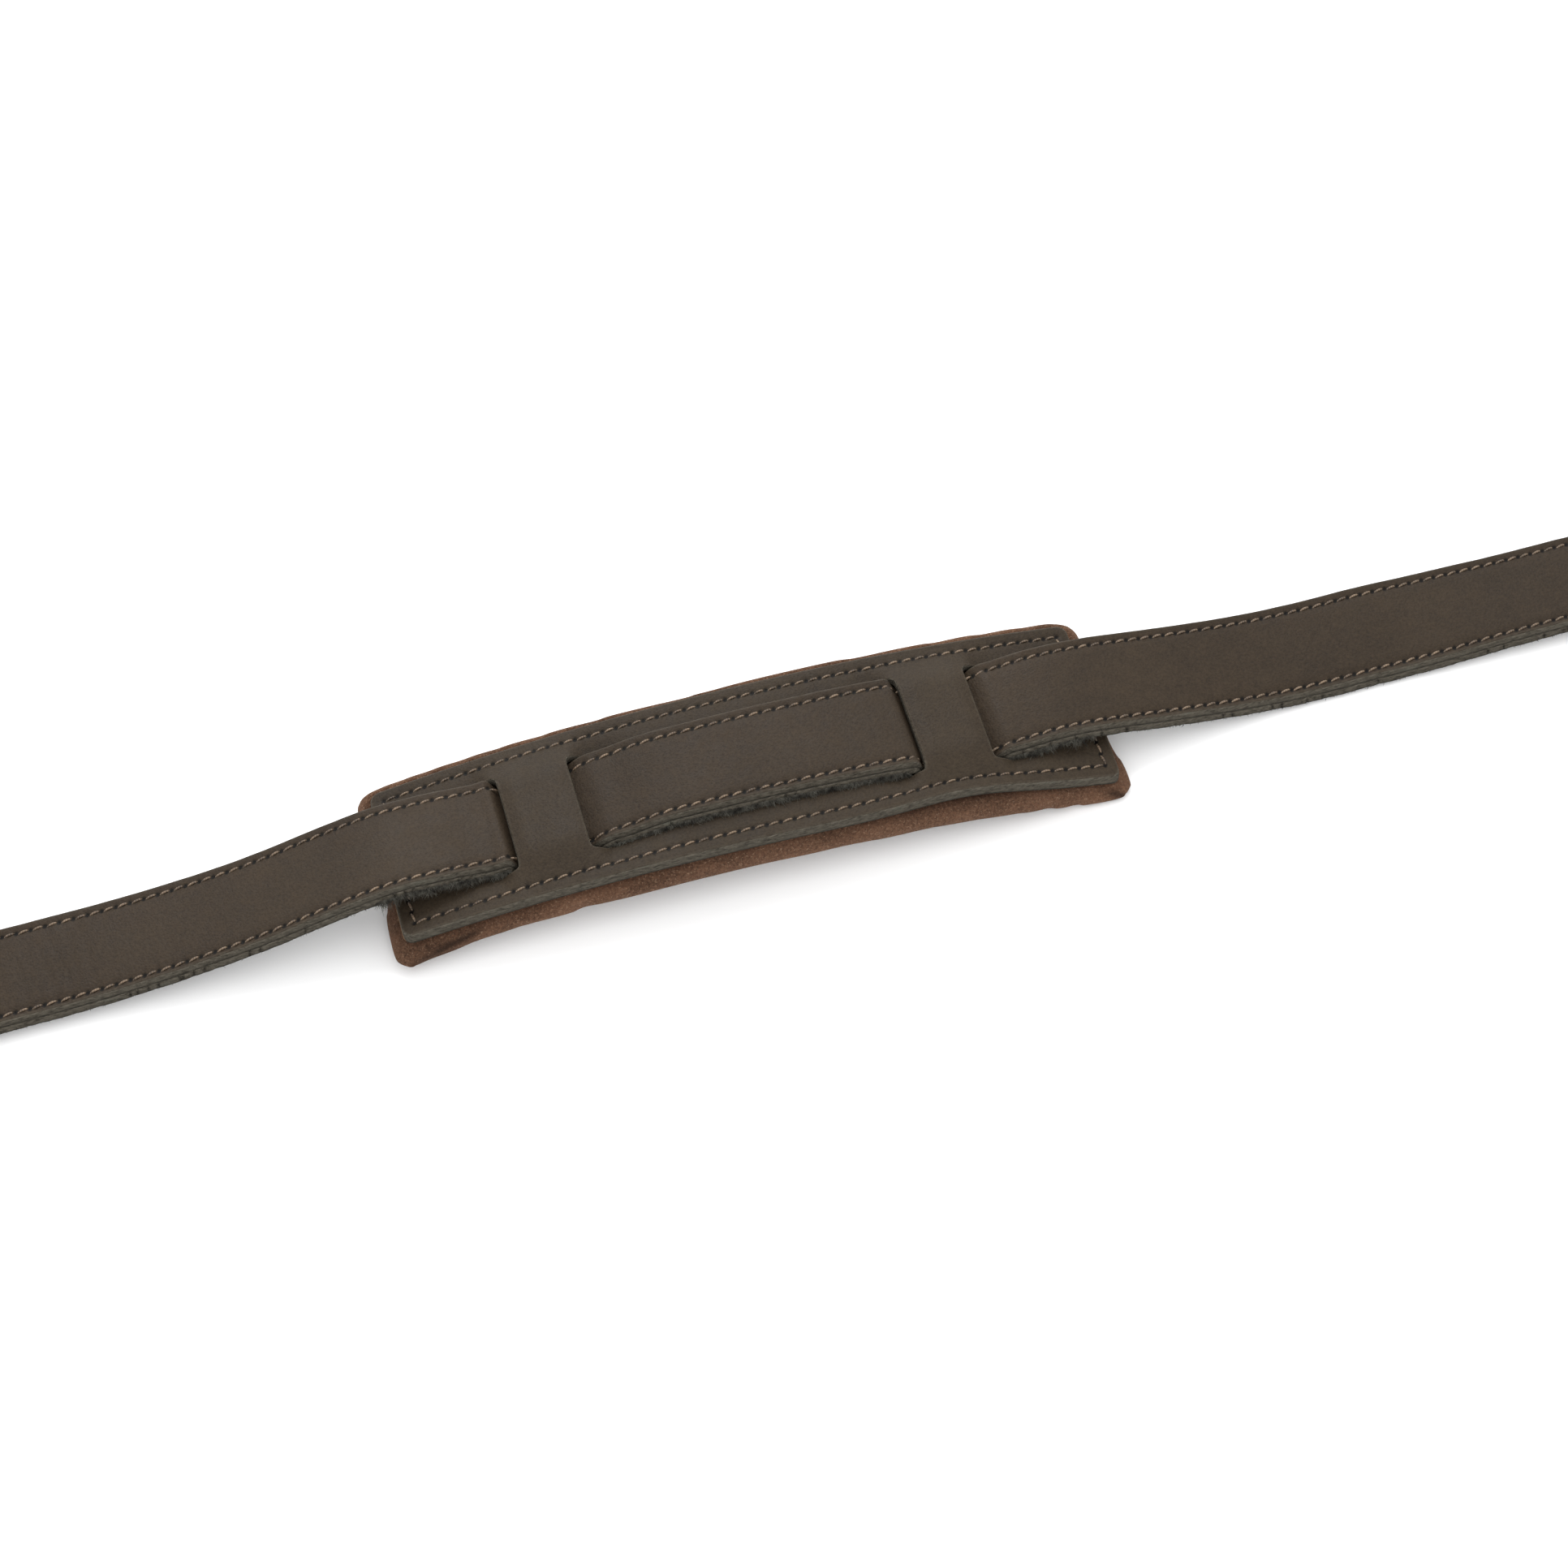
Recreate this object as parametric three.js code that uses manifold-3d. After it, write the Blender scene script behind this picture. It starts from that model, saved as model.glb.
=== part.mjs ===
// Leather guitar strap with a sliding shoulder pad, lying on a flat surface.
// Millimetres, +Z up. X runs along the strap, Y across it. The origin is under the middle
// of the strap's length, on the surface that it lies on.

import * as THREE from 'three';
import { mergeVertices } from 'three/addons/utils/BufferGeometryUtils.js';
import Module from 'manifold-3d';

const wasm = await Module();
wasm.setup();

// ---------------------------------------------------------------- driving dimensions

const GAP = 0.3;                  // air left between pieces that touch or are glued
const OVERALL_LENGTH = 1140;      // button end to button end, as set

const STRAP_WIDTH = 38;
const PLY_THICKNESS = 2.2;        // top and backing plies alike
const STRAP_END_RADIUS = 6;
const STRAP_STITCH_INSET = 3.4;

const THREAD_WIDTH = 0.9;
const THREAD_HEIGHT = 0.4;
const STITCH_CORNER_GAP = 2.5;    // two rows of stitches end this far short of their corner

const PAD_LENGTH = 262;
const PAD_WIDTH = 65;
const PAD_CORNER_RADIUS = 5;
const PAD_LEATHER = 4.3;
const PAD_STITCH_INSET = 4.6;
const LINING_THICKNESS = 0.9;
const FOAM_THICKNESS = 5.6;
const SUEDE_THICKNESS = 1.2;
const SUEDE_MARGIN = 4.4;         // how far the suede cover stands out past the pad's leather
const PAD_ARCH = 12.3;            // rise of the pad's middle over its ends
const PAD_ARCH_POWER = 2.1;       // above 2 gives a flatter middle and steeper ends

const BRIDGE_WIDTH = 25.4;        // leather left between the two slots of a pair
const BRIDGE_INSET = 44.4;        // pad's end to a bridge's outer edge
const SLOT_WIDTH = 7.5;
const SLOT_SIDE_CLEARANCE = 1.5;  // slot end to strap edge
const SLOT_CORNER_RADIUS = 2.5;
const BRIDGE_LIFT = 4.2;          // a bridge is pushed up by the strap under it
const SLOT_PRESS = 1.6;           // the leather beside a bridge is pressed down under the strap
const PRESS_RUN = 12;             // length over which that leather comes back to its level
const PADDING_DIP = 3.2;          // how far lining and foam give way under the strap
const PADDING_EDGE_RUN = 8;       // width over which they come back to their level at the pad's edge
const PAD_EDGE_BAND = 3;          // rim of the pad's leather that a bridge's lift doesn't reach

const END_LEATHER = 3.5;          // button tab and tail
const BUTTON_HOLE_RADIUS = 4.25;
const BUTTON_SLIT_LENGTH = 16;
const BUTTON_SLIT_WIDTH = 1.6;
const BUTTON_HOLE_SETBACK = 16;   // tip to button hole centre
const TAB_WIDTH = 36;
const TAB_LENGTH = 85;
const TAB_OVERLAP = 35;
const TAIL_WIDTH = 30;
const TAIL_LENGTH = 235;
const TAIL_OVERLAP = 105;
const TAIL_CORNER_RADIUS = 4;
const TIP_FLAT = 0.5;             // half the flat left at a rounded tip
const TAB_STITCH_RADIUS = 2;      // corners of the rectangle sewn round the tab's root
const TAIL_HOLE_PITCH = 25;
const TAIL_HOLE_COUNT = 7;
const TAIL_HOLE_SETBACK = 15;     // tail's inner end to its first hole
const SCREW_HOLES = [2, 3];       // holes of the tail that the two screws are in

const POST_RADIUS = 2.4;
const POST_BORE_RADIUS = 1.8;
const POST_FLANGE_RADIUS = 5;
const POST_FLANGE_HEIGHT = 1.2;
const POST_FLOOR = 0.8;           // metal left under the bore
const SHANK_RADIUS = 1.5;
const HEAD_RADIUS = 5;
const HEAD_HEIGHT = 1.7;
const HEAD_CHAMFER = 0.8;
const HEAD_CROWN = 0.2;
const DRIVE_SLOT_WIDTH = 1.2;
const DRIVE_SLOT_DEPTH = 0.8;

// Underside of the strap outside the pad's slots. It bulges up over the pad's end, runs down, and
// lies in long low waves until it rests on the tab or the tail: heights as shares of the pad's
// thickness, at shares of the run from the pad's end to the tab or the tail.
const LEFT_BULGE = 1.6;           // height midway between the outer slot and the pad's end
const RIGHT_BULGE = 1.49;
const LEFT_WAVES = [
  [0, 1.64], [0.07, 1.3], [0.14, 0.88], [0.21, 0.57], [0.3, 0.33], [0.4, 0.26], [0.57, 0.17],
  [0.75, 0.02], [0.88, 0.04],
];
const RIGHT_WAVES = [
  [0, 1.32], [0.12, 0.9], [0.25, 0.5], [0.38, 0.26], [0.57, 0.23], [0.79, 0.26],
];
const STRAP_SEAT_RUN = 3;         // the strap is down on its seat this far before it

const ROUND_SEGMENTS = 24;
const TIP_SEGMENTS = 8;
const CORNER_SEGMENTS = 6;
const SMALL_CORNER_SEGMENTS = 3;
const CUT_FROM = -20;             // every cutter reaches from here to here
const CUT_TO = 80;
const SAME_PLACE = 0.05;          // two grid places closer than this are one
const MERGE_DISTANCE = 1e-4;

// ---------------------------------------------------------------- worked-out dimensions

const STRAP_THICKNESS = 2 * PLY_THICKNESS + GAP;
const STRAP_LEFT = -OVERALL_LENGTH / 2 + TAB_LENGTH - TAB_OVERLAP;
const STRAP_RIGHT = OVERALL_LENGTH / 2 - TAIL_LENGTH + TAIL_OVERLAP;
const TAB_LEFT = -OVERALL_LENGTH / 2;
const TAB_RIGHT = TAB_LEFT + TAB_LENGTH;
const TAIL_RIGHT = OVERALL_LENGTH / 2;
const TAIL_LEFT = TAIL_RIGHT - TAIL_LENGTH;
const END_SEAT = END_LEATHER + GAP;                // underside of the strap on tab and tail

const FOAM_BOTTOM = SUEDE_THICKNESS + GAP;
const LINING_BOTTOM = FOAM_BOTTOM + FOAM_THICKNESS + GAP;
const LEATHER_BOTTOM = LINING_BOTTOM + LINING_THICKNESS + GAP;
const LEATHER_TOP = LEATHER_BOTTOM + PAD_LEATHER;
const THREAD_STACK = GAP + THREAD_HEIGHT + GAP;    // room for a stitch row between two pieces

const PAD_HALF = PAD_LENGTH / 2;
const BRIDGE_END = PAD_HALF - BRIDGE_INSET;        // pad middle to a bridge's outer edge
const BRIDGE_START = BRIDGE_END - BRIDGE_WIDTH;
const INNER_SLOT = BRIDGE_START - SLOT_WIDTH;      // pad middle to an inner slot's near edge
const OUTER_SLOT = BRIDGE_END + SLOT_WIDTH;        // pad middle to an outer slot's far edge
const SLOT_HALF_LENGTH = STRAP_WIDTH / 2 + SLOT_SIDE_CLEARANCE;
const MARGIN_FADE = PAD_WIDTH / 2 - PAD_EDGE_BAND; // where a bridge's lift has died away
const UNDER_BRIDGE = LEATHER_BOTTOM + BRIDGE_LIFT - THREAD_STACK - STRAP_THICKNESS;
const ON_PRESSED = LEATHER_TOP - SLOT_PRESS + GAP;
const ON_MIDDLE = LEATHER_TOP + GAP;
const PRESS_END = OUTER_SLOT + PRESS_RUN;          // from here to the end the leather is at its level

const LEFT_RUN = outerRun(-1, LEFT_BULGE, LEFT_WAVES, TAB_RIGHT + STRAP_SEAT_RUN, STRAP_LEFT);
const RIGHT_RUN = outerRun(1, RIGHT_BULGE, RIGHT_WAVES, TAIL_LEFT - STRAP_SEAT_RUN, STRAP_RIGHT);

// ---------------------------------------------------------------- height functions

/** Smooth step from 0 at the first edge to 1 at the second. */
function smooth(from, to, value) {
  const t = THREE.MathUtils.clamp((value - from) / (to - from), 0, 1);
  return t * t * (3 - 2 * t);
}

/** Height along a list of [place, height] knots, level at each knot. */
function alongKnots(knots, place) {
  let height = knots[0][1];
  for (let i = 1; i < knots.length; i += 1) {
    const [x0, z0] = knots[i - 1];
    const [x1, z1] = knots[i];
    height += (z1 - z0) * smooth(x0, x1, place);
  }
  return height;
}

/** Rise of the pad's underside over the table. */
function arch(x) {
  const share = Math.min(Math.abs(x) / PAD_HALF, 1);
  return PAD_ARCH * (1 - share ** PAD_ARCH_POWER);
}

/** Lift of a bridge and press of the leather beside it, along the pad. */
function bridgeWave(x) {
  const knots = [
    [INNER_SLOT - PRESS_RUN, 0], [INNER_SLOT, -SLOT_PRESS], [BRIDGE_START, BRIDGE_LIFT],
    [BRIDGE_END, BRIDGE_LIFT], [OUTER_SLOT, -SLOT_PRESS], [PRESS_END, 0],
  ];
  return alongKnots(knots, Math.abs(x));
}

function leatherRise(x, y) {
  const across = 1 - smooth(STRAP_WIDTH / 2, MARGIN_FADE, Math.abs(y));
  return arch(x) + bridgeWave(x) * across;
}

function paddingRise(x, y) {
  const run = Math.abs(x);
  const lead = PRESS_RUN / 2;
  const inner = smooth(INNER_SLOT - PRESS_RUN - lead, INNER_SLOT - lead, run);
  const outer = smooth(OUTER_SLOT + lead, PRESS_END + lead, run);
  const across = 1 - smooth(PAD_WIDTH / 2 - PADDING_EDGE_RUN, PAD_WIDTH / 2, Math.abs(y));
  return arch(x) - PADDING_DIP * (inner - outer) * across;
}

/** Points [x, height] of the strap's underside from an outer slot to the strap's end. */
function outerRun(side, bulge, waves, seat, end) {
  const padEnd = side * PAD_HALF;
  return [
    [side * OUTER_SLOT, arch(OUTER_SLOT) + ON_PRESSED],
    [side * (OUTER_SLOT + PAD_HALF) / 2, bulge * LEATHER_TOP],
    ...waves.map(([share, rise]) => [padEnd + share * (seat - padEnd), rise * LEATHER_TOP]),
    [seat, END_SEAT],
    [end, END_SEAT],
  ];
}

/** Smooth height through [place, height] points, its slope at each taken from its neighbours. */
function throughPoints(points, place) {
  const slope = (i) => {
    if (i === 0 || i === points.length - 1) {
      return 0;
    }
    const [before, after] = [points[i - 1], points[i + 1]];
    return (after[1] - before[1]) / (after[0] - before[0]);
  };
  const next = points.findIndex(([x]) => Math.abs(x) >= Math.abs(place));
  const i = Math.max(next, 1);
  const [x0, z0] = points[i - 1];
  const [x1, z1] = points[i];
  const t = (place - x0) / (x1 - x0);
  const lean0 = slope(i - 1) * (x1 - x0) * t * (1 - t) ** 2;
  const lean1 = slope(i) * (x1 - x0) * t ** 2 * (t - 1);
  return z0 + (z1 - z0) * t * t * (3 - 2 * t) + lean0 + lean1;
}

/** Underside of the strap over the table, from one end to the other. */
function strapBottom(x) {
  if (Math.abs(x) > OUTER_SLOT) {
    return throughPoints(x < 0 ? LEFT_RUN : RIGHT_RUN, x);
  }
  const knots = [
    [INNER_SLOT - PRESS_RUN, ON_MIDDLE], [INNER_SLOT, ON_PRESSED], [BRIDGE_START, UNDER_BRIDGE],
    [BRIDGE_END, UNDER_BRIDGE], [OUTER_SLOT, ON_PRESSED],
  ];
  return arch(x) + alongKnots(knots, Math.abs(x));
}

// ---------------------------------------------------------------- stations along X

/** Evenly spaced places from one end to the other, both included. */
function spaced(from, to, count) {
  return Array.from({ length: count + 1 }, (_, i) => from + (to - from) * i / count);
}

/** Sorted places with near-doubles left out. */
function stations(...runs) {
  const all = runs.flat().sort((a, b) => a - b);
  return all.filter((place, i) => i === 0 || place - all[i - 1] > SAME_PLACE);
}

/** Places along half of the pad where its layers change height, out to its end if one is given. */
function padRun(end) {
  const run = stations(
    spaced(0, INNER_SLOT - PRESS_RUN, 3), spaced(INNER_SLOT - PRESS_RUN, INNER_SLOT, 3),
    spaced(INNER_SLOT, BRIDGE_START, 3), spaced(BRIDGE_START, BRIDGE_END, 2),
    spaced(BRIDGE_END, OUTER_SLOT, 3),
  );
  if (end <= OUTER_SLOT) {
    return run;
  }
  return stations(run, spaced(OUTER_SLOT, PRESS_END, 3), spaced(PRESS_END, end, 2));
}

/** A half run of places and its mirror image. */
function bothWays(run) {
  return stations(run, run.map((place) => -place));
}

/** Places along the strap between two ends, closest where it bends most. */
function strapRun(left, right) {
  const between = (points, count) => points.slice(1).flatMap(([x], i) => spaced(points[i][0], x, count));
  const all = stations(
    bothWays(padRun(OUTER_SLOT)), between(LEFT_RUN, 3), between(RIGHT_RUN, 3), [left, right],
  );
  return all.filter((x) => x >= left && x <= right);
}

// ---------------------------------------------------------------- solids

/**
 * A layer that follows height functions: a box whose grid lines stand at the given
 * places, with its lower and upper faces at bottom(x, y) and top(x, y).
 */
function sheet(xs, ys, bottom, top) {
  const box = new THREE.BoxGeometry(1, 1, 1, xs.length - 1, ys.length - 1, 1);
  const place = box.attributes.position;
  for (let i = 0; i < place.count; i += 1) {
    const x = xs[Math.round((place.getX(i) + 0.5) * (xs.length - 1))];
    const y = ys[Math.round((place.getY(i) + 0.5) * (ys.length - 1))];
    place.setXYZ(i, x, y, place.getZ(i) < 0 ? bottom(x, y) : top(x, y));
  }
  turnDiagonals(box.index, box.groups[5]);
  return box;
}

/** Splits each square of a box's lower face along the diagonal that its upper face has. */
function turnDiagonals(index, face) {
  for (let k = face.start; k < face.start + face.count; k += 6) {
    const [a, b, c, d] = [0, 1, 4, 2].map((step) => index.getX(k + step));
    [a, b, c, a, c, d].forEach((vertex, step) => index.setX(k + step, vertex));
  }
}

/** The geometry as a manifold-3d solid. */
function solid(geometry) {
  const bare = geometry.clone();
  bare.deleteAttribute('normal');
  bare.deleteAttribute('uv');
  const merged = mergeVertices(bare, MERGE_DISTANCE);
  return new wasm.Manifold(new wasm.Mesh({
    numProp: 3,
    vertProperties: new Float32Array(merged.attributes.position.array),
    triVerts: new Uint32Array(merged.index.array),
  }));
}

/** A manifold-3d solid as a geometry. */
function geometryOf(body) {
  const mesh = body.getMesh();
  const geometry = new THREE.BufferGeometry();
  geometry.setAttribute('position', new THREE.BufferAttribute(mesh.vertProperties, 3));
  geometry.setIndex(new THREE.BufferAttribute(mesh.triVerts, 1));
  geometry.computeVertexNormals();
  return geometry;
}

/** Outline of a rectangle with rounded corners, one radius at its left and one at its right. */
function plateShape(left, right, width, leftRadius, rightRadius) {
  const half = width / 2;
  const shape = new THREE.Shape();
  shape.moveTo(left + leftRadius, -half);
  shape.absarc(right - rightRadius, -half + rightRadius, rightRadius, -Math.PI / 2, 0);
  shape.absarc(right - rightRadius, half - rightRadius, rightRadius, 0, Math.PI / 2);
  shape.absarc(left + leftRadius, half - leftRadius, leftRadius, Math.PI / 2, Math.PI);
  shape.absarc(left + leftRadius, -half + leftRadius, leftRadius, Math.PI, 1.5 * Math.PI);
  return shape;
}

/** A flat plate of the shape, from one height up to another. */
function plate(shape, bottom, top, curveSegments = CORNER_SEGMENTS) {
  const geometry = new THREE.ExtrudeGeometry(shape, {
    depth: top - bottom, bevelEnabled: false, curveSegments,
  });
  return geometry.translate(0, 0, bottom);
}

/** Cuts a layer to a rounded outline. */
function trimmed(layer, shape) {
  return solid(layer).intersect(solid(plate(shape, CUT_FROM, CUT_TO)));
}

/** A round bar standing on Z. */
function bar(radius, bottom, top, x) {
  const cylinder = new THREE.CylinderGeometry(radius, radius, top - bottom, ROUND_SEGMENTS);
  return cylinder.rotateX(Math.PI / 2).translate(x, 0, (bottom + top) / 2);
}

/** A turned piece on Z from a profile of [radius, height] points. */
function turned(profile, x) {
  const points = profile.map(([radius, height]) => new THREE.Vector2(radius, height));
  return new THREE.LatheGeometry(points, ROUND_SEGMENTS).rotateX(Math.PI / 2).translate(x, 0, 0);
}

/** A strip of thread lying on a surface top(x, y), straight along X. */
function threadAlong(xs, y, top) {
  const ys = [y - THREAD_WIDTH / 2, y + THREAD_WIDTH / 2];
  return sheet(xs, ys, (...at) => top(...at) + GAP, (...at) => top(...at) + GAP + THREAD_HEIGHT);
}

/** A strip of thread lying on a surface top(x, y), straight along Y. */
function threadAcross(x, ys, top) {
  const xs = [x - THREAD_WIDTH / 2, x + THREAD_WIDTH / 2];
  return sheet(xs, ys, (...at) => top(...at) + GAP, (...at) => top(...at) + GAP + THREAD_HEIGHT);
}

/** Outline of a button hole: a round hole with a slit that runs towards the strap's middle. */
function buttonHole(x, towards) {
  const half = BUTTON_SLIT_WIDTH / 2;
  const open = Math.asin(half / BUTTON_HOLE_RADIUS);
  const slitAngle = towards > 0 ? 0 : Math.PI;
  const end = x + towards * (BUTTON_HOLE_RADIUS + BUTTON_SLIT_LENGTH);
  const hole = new THREE.Path();
  hole.absarc(x, 0, BUTTON_HOLE_RADIUS, slitAngle + open, slitAngle + 2 * Math.PI - open);
  hole.lineTo(end, -towards * half);
  hole.lineTo(end, towards * half);
  hole.closePath();
  return hole;
}

// ---------------------------------------------------------------- the pad

const padRowY = PAD_WIDTH / 2 - PAD_STITCH_INSET;
const padAcross = bothWays(stations(
  [0, SLOT_HALF_LENGTH, PAD_WIDTH / 2], spaced(STRAP_WIDTH / 2, MARGIN_FADE, 3),
  [padRowY - THREAD_WIDTH / 2, padRowY + THREAD_WIDTH / 2],
));

/** Slot pair beside each bridge, cut right through. */
function slotCutters() {
  const cutters = [];
  for (const side of [-1, 1]) {
    for (const near of [INNER_SLOT, BRIDGE_END]) {
      const middle = side * (near + SLOT_WIDTH / 2);
      const left = middle - SLOT_WIDTH / 2;
      const outline = plateShape(
        left, left + SLOT_WIDTH, 2 * SLOT_HALF_LENGTH, SLOT_CORNER_RADIUS, SLOT_CORNER_RADIUS,
      );
      cutters.push(solid(plate(outline, CUT_FROM, CUT_TO, SMALL_CORNER_SEGMENTS)));
    }
  }
  return cutters;
}

function padLeather() {
  const layer = sheet(
    bothWays(padRun(PAD_HALF)), padAcross,
    (x, y) => LEATHER_BOTTOM + leatherRise(x, y), (x, y) => LEATHER_TOP + leatherRise(x, y),
  );
  const outline = plateShape(
    -PAD_HALF, PAD_HALF, PAD_WIDTH, PAD_CORNER_RADIUS, PAD_CORNER_RADIUS,
  );
  let body = trimmed(layer, outline);
  for (const cutter of slotCutters()) {
    body = body.subtract(cutter);
  }
  return geometryOf(body);
}

/** A layer of padding inside the suede cover. */
function paddingLayer(bottom, top, bottomRise) {
  const half = PAD_HALF - GAP;
  const width = PAD_WIDTH - 2 * GAP;
  const across = bothWays(spaced(PAD_WIDTH / 2 - PADDING_EDGE_RUN, width / 2, 2));
  const layer = sheet(
    bothWays(padRun(half)), across,
    (x, y) => bottom + bottomRise(x, y), (x, y) => top + paddingRise(x, y),
  );
  const outline = plateShape(-half, half, width, PAD_CORNER_RADIUS, PAD_CORNER_RADIUS);
  return geometryOf(trimmed(layer, outline));
}

/** Tray of suede round the foam's underside and sides. */
function suedeCover() {
  const tray = (grow, bottom, top) => {
    const half = PAD_HALF + grow;
    const width = PAD_WIDTH + 2 * grow;
    const layer = sheet(
      bothWays(stations(padRun(PAD_HALF - GAP), [PAD_HALF, half])), [-width / 2, width / 2],
      (x) => bottom + arch(x), (x) => top + arch(x),
    );
    const radius = PAD_CORNER_RADIUS + grow;
    return trimmed(layer, plateShape(-half, half, width, radius, radius));
  };
  const outer = tray(SUEDE_MARGIN, 0, LEATHER_BOTTOM - GAP);
  const inner = tray(SUEDE_MARGIN - SUEDE_THICKNESS, SUEDE_THICKNESS, LEATHER_TOP);
  return geometryOf(outer.subtract(inner));
}

/** The rows of thread near the pad's edges. */
function padThreads() {
  const top = (x, y) => LEATHER_TOP + leatherRise(x, y);
  const rowX = PAD_HALF - PAD_STITCH_INSET;
  const along = bothWays(padRun(rowX - STITCH_CORNER_GAP));
  const across = spaced(-padRowY + STITCH_CORNER_GAP, padRowY - STITCH_CORNER_GAP, 2);
  return {
    pad_stitch_front: threadAlong(along, -padRowY, top),
    pad_stitch_back: threadAlong(along, padRowY, top),
    pad_stitch_left: threadAcross(-rowX, across, top),
    pad_stitch_right: threadAcross(rowX, across, top),
  };
}

// ---------------------------------------------------------------- the strap

const screwPlaces = SCREW_HOLES.map(
  (hole) => TAIL_LEFT + TAIL_HOLE_SETBACK + hole * TAIL_HOLE_PITCH,
);

function ply(bottomOffset) {
  const layer = sheet(
    strapRun(STRAP_LEFT, STRAP_RIGHT), [-STRAP_WIDTH / 2, STRAP_WIDTH / 2],
    (x) => strapBottom(x) + bottomOffset, (x) => strapBottom(x) + bottomOffset + PLY_THICKNESS,
  );
  const outline = plateShape(
    STRAP_LEFT, STRAP_RIGHT, STRAP_WIDTH, STRAP_END_RADIUS, STRAP_END_RADIUS,
  );
  let body = trimmed(layer, outline);
  for (const x of screwPlaces) {
    body = body.subtract(solid(bar(POST_RADIUS + GAP, CUT_FROM, CUT_TO, x)));
  }
  return geometryOf(body);
}

function strapThreads() {
  const top = (x) => strapBottom(x) + STRAP_THICKNESS;
  const rowY = STRAP_WIDTH / 2 - STRAP_STITCH_INSET;
  const ends = STRAP_STITCH_INSET + STITCH_CORNER_GAP;
  const run = strapRun(STRAP_LEFT + ends, STRAP_RIGHT - ends);
  const across = [-rowY + STITCH_CORNER_GAP, rowY - STITCH_CORNER_GAP];
  return {
    strap_stitch_front: threadAlong(run, -rowY, top),
    strap_stitch_back: threadAlong(run, rowY, top),
    strap_stitch_left_end: threadAcross(STRAP_LEFT + STRAP_STITCH_INSET, across, top),
    strap_stitch_right_end: threadAcross(STRAP_RIGHT - STRAP_STITCH_INSET, across, top),
  };
}

/** Thread that sews the button tab under the strap, a closed rectangle on the strap's top. */
function tabThread() {
  const left = STRAP_LEFT + 3 * STRAP_STITCH_INSET;
  const right = TAB_RIGHT - STRAP_STITCH_INSET;
  const width = STRAP_WIDTH - 4 * STRAP_STITCH_INSET;
  const ring = plateShape(left, right, width, TAB_STITCH_RADIUS, TAB_STITCH_RADIUS);
  const innerRadius = TAB_STITCH_RADIUS - THREAD_WIDTH;
  const inside = plateShape(
    left + THREAD_WIDTH, right - THREAD_WIDTH, width - 2 * THREAD_WIDTH, innerRadius, innerRadius,
  );
  ring.holes.push(inside);
  const bottom = END_SEAT + STRAP_THICKNESS + GAP;
  return plate(ring, bottom, bottom + THREAD_HEIGHT, SMALL_CORNER_SEGMENTS);
}

function buttonTab() {
  const outline = plateShape(
    TAB_LEFT, TAB_RIGHT, TAB_WIDTH, TAB_WIDTH / 2 - TIP_FLAT, TAIL_CORNER_RADIUS,
  );
  outline.holes.push(buttonHole(TAB_LEFT + BUTTON_HOLE_SETBACK, 1));
  return plate(outline, 0, END_LEATHER, TIP_SEGMENTS);
}

function tail() {
  const outline = plateShape(
    TAIL_LEFT, TAIL_RIGHT, TAIL_WIDTH, TAIL_CORNER_RADIUS, TAIL_WIDTH / 2 - TIP_FLAT,
  );
  outline.holes.push(buttonHole(TAIL_RIGHT - BUTTON_HOLE_SETBACK, -1));
  let body = solid(plate(outline, 0, END_LEATHER, TIP_SEGMENTS));
  for (let i = 0; i < TAIL_HOLE_COUNT; i += 1) {
    const x = TAIL_LEFT + TAIL_HOLE_SETBACK + i * TAIL_HOLE_PITCH;
    body = body.subtract(solid(bar(POST_RADIUS + GAP, CUT_FROM, CUT_TO, x)));
  }
  for (const x of screwPlaces) {
    const pocket = bar(POST_FLANGE_RADIUS + GAP, CUT_FROM, POST_FLANGE_HEIGHT + 2 * GAP, x);
    body = body.subtract(solid(pocket));
  }
  return geometryOf(body);
}

/** Flanged barrel that comes up through the tail and the strap. */
function screwPost(x) {
  const flangeBottom = GAP;
  const flangeTop = flangeBottom + POST_FLANGE_HEIGHT;
  const top = END_SEAT + STRAP_THICKNESS - GAP;
  return turned([
    [0, flangeBottom], [POST_FLANGE_RADIUS, flangeBottom], [POST_FLANGE_RADIUS, flangeTop],
    [POST_RADIUS, flangeTop], [POST_RADIUS, top], [POST_BORE_RADIUS, top],
    [POST_BORE_RADIUS, flangeTop + POST_FLOOR], [0, flangeTop + POST_FLOOR],
  ], x);
}

/** Slotted screw whose shank goes down into the barrel. */
function screw(x) {
  const headBottom = END_SEAT + STRAP_THICKNESS + GAP;
  const headTop = headBottom + HEAD_HEIGHT;
  const tip = GAP + POST_FLANGE_HEIGHT + POST_FLOOR + GAP;
  const body = turned([
    [0, tip], [SHANK_RADIUS, tip], [SHANK_RADIUS, headBottom], [HEAD_RADIUS, headBottom],
    [HEAD_RADIUS, headTop - HEAD_CHAMFER], [HEAD_RADIUS - HEAD_CHAMFER, headTop - HEAD_CROWN],
    [0, headTop],
  ], x);
  const drive = new THREE.BoxGeometry(3 * HEAD_RADIUS, DRIVE_SLOT_WIDTH, 2 * HEAD_HEIGHT);
  drive.translate(x, 0, headTop - DRIVE_SLOT_DEPTH + HEAD_HEIGHT);
  return geometryOf(solid(body).subtract(solid(drive)));
}

// ---------------------------------------------------------------- assembly

const FINISHES = {
  leather: { color: 0x4e463f, roughness: 0.55, metalness: 0 },
  rawEdge: { color: 0x45423c, roughness: 0.8, metalness: 0 },
  suede: { color: 0x64493a, roughness: 0.95, metalness: 0 },
  foam: { color: 0x3a3a3a, roughness: 1, metalness: 0 },
  thread: { color: 0x5a4638, roughness: 0.7, metalness: 0 },
  nickel: { color: 0xb9b4a8, roughness: 0.3, metalness: 1 },
};

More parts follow.
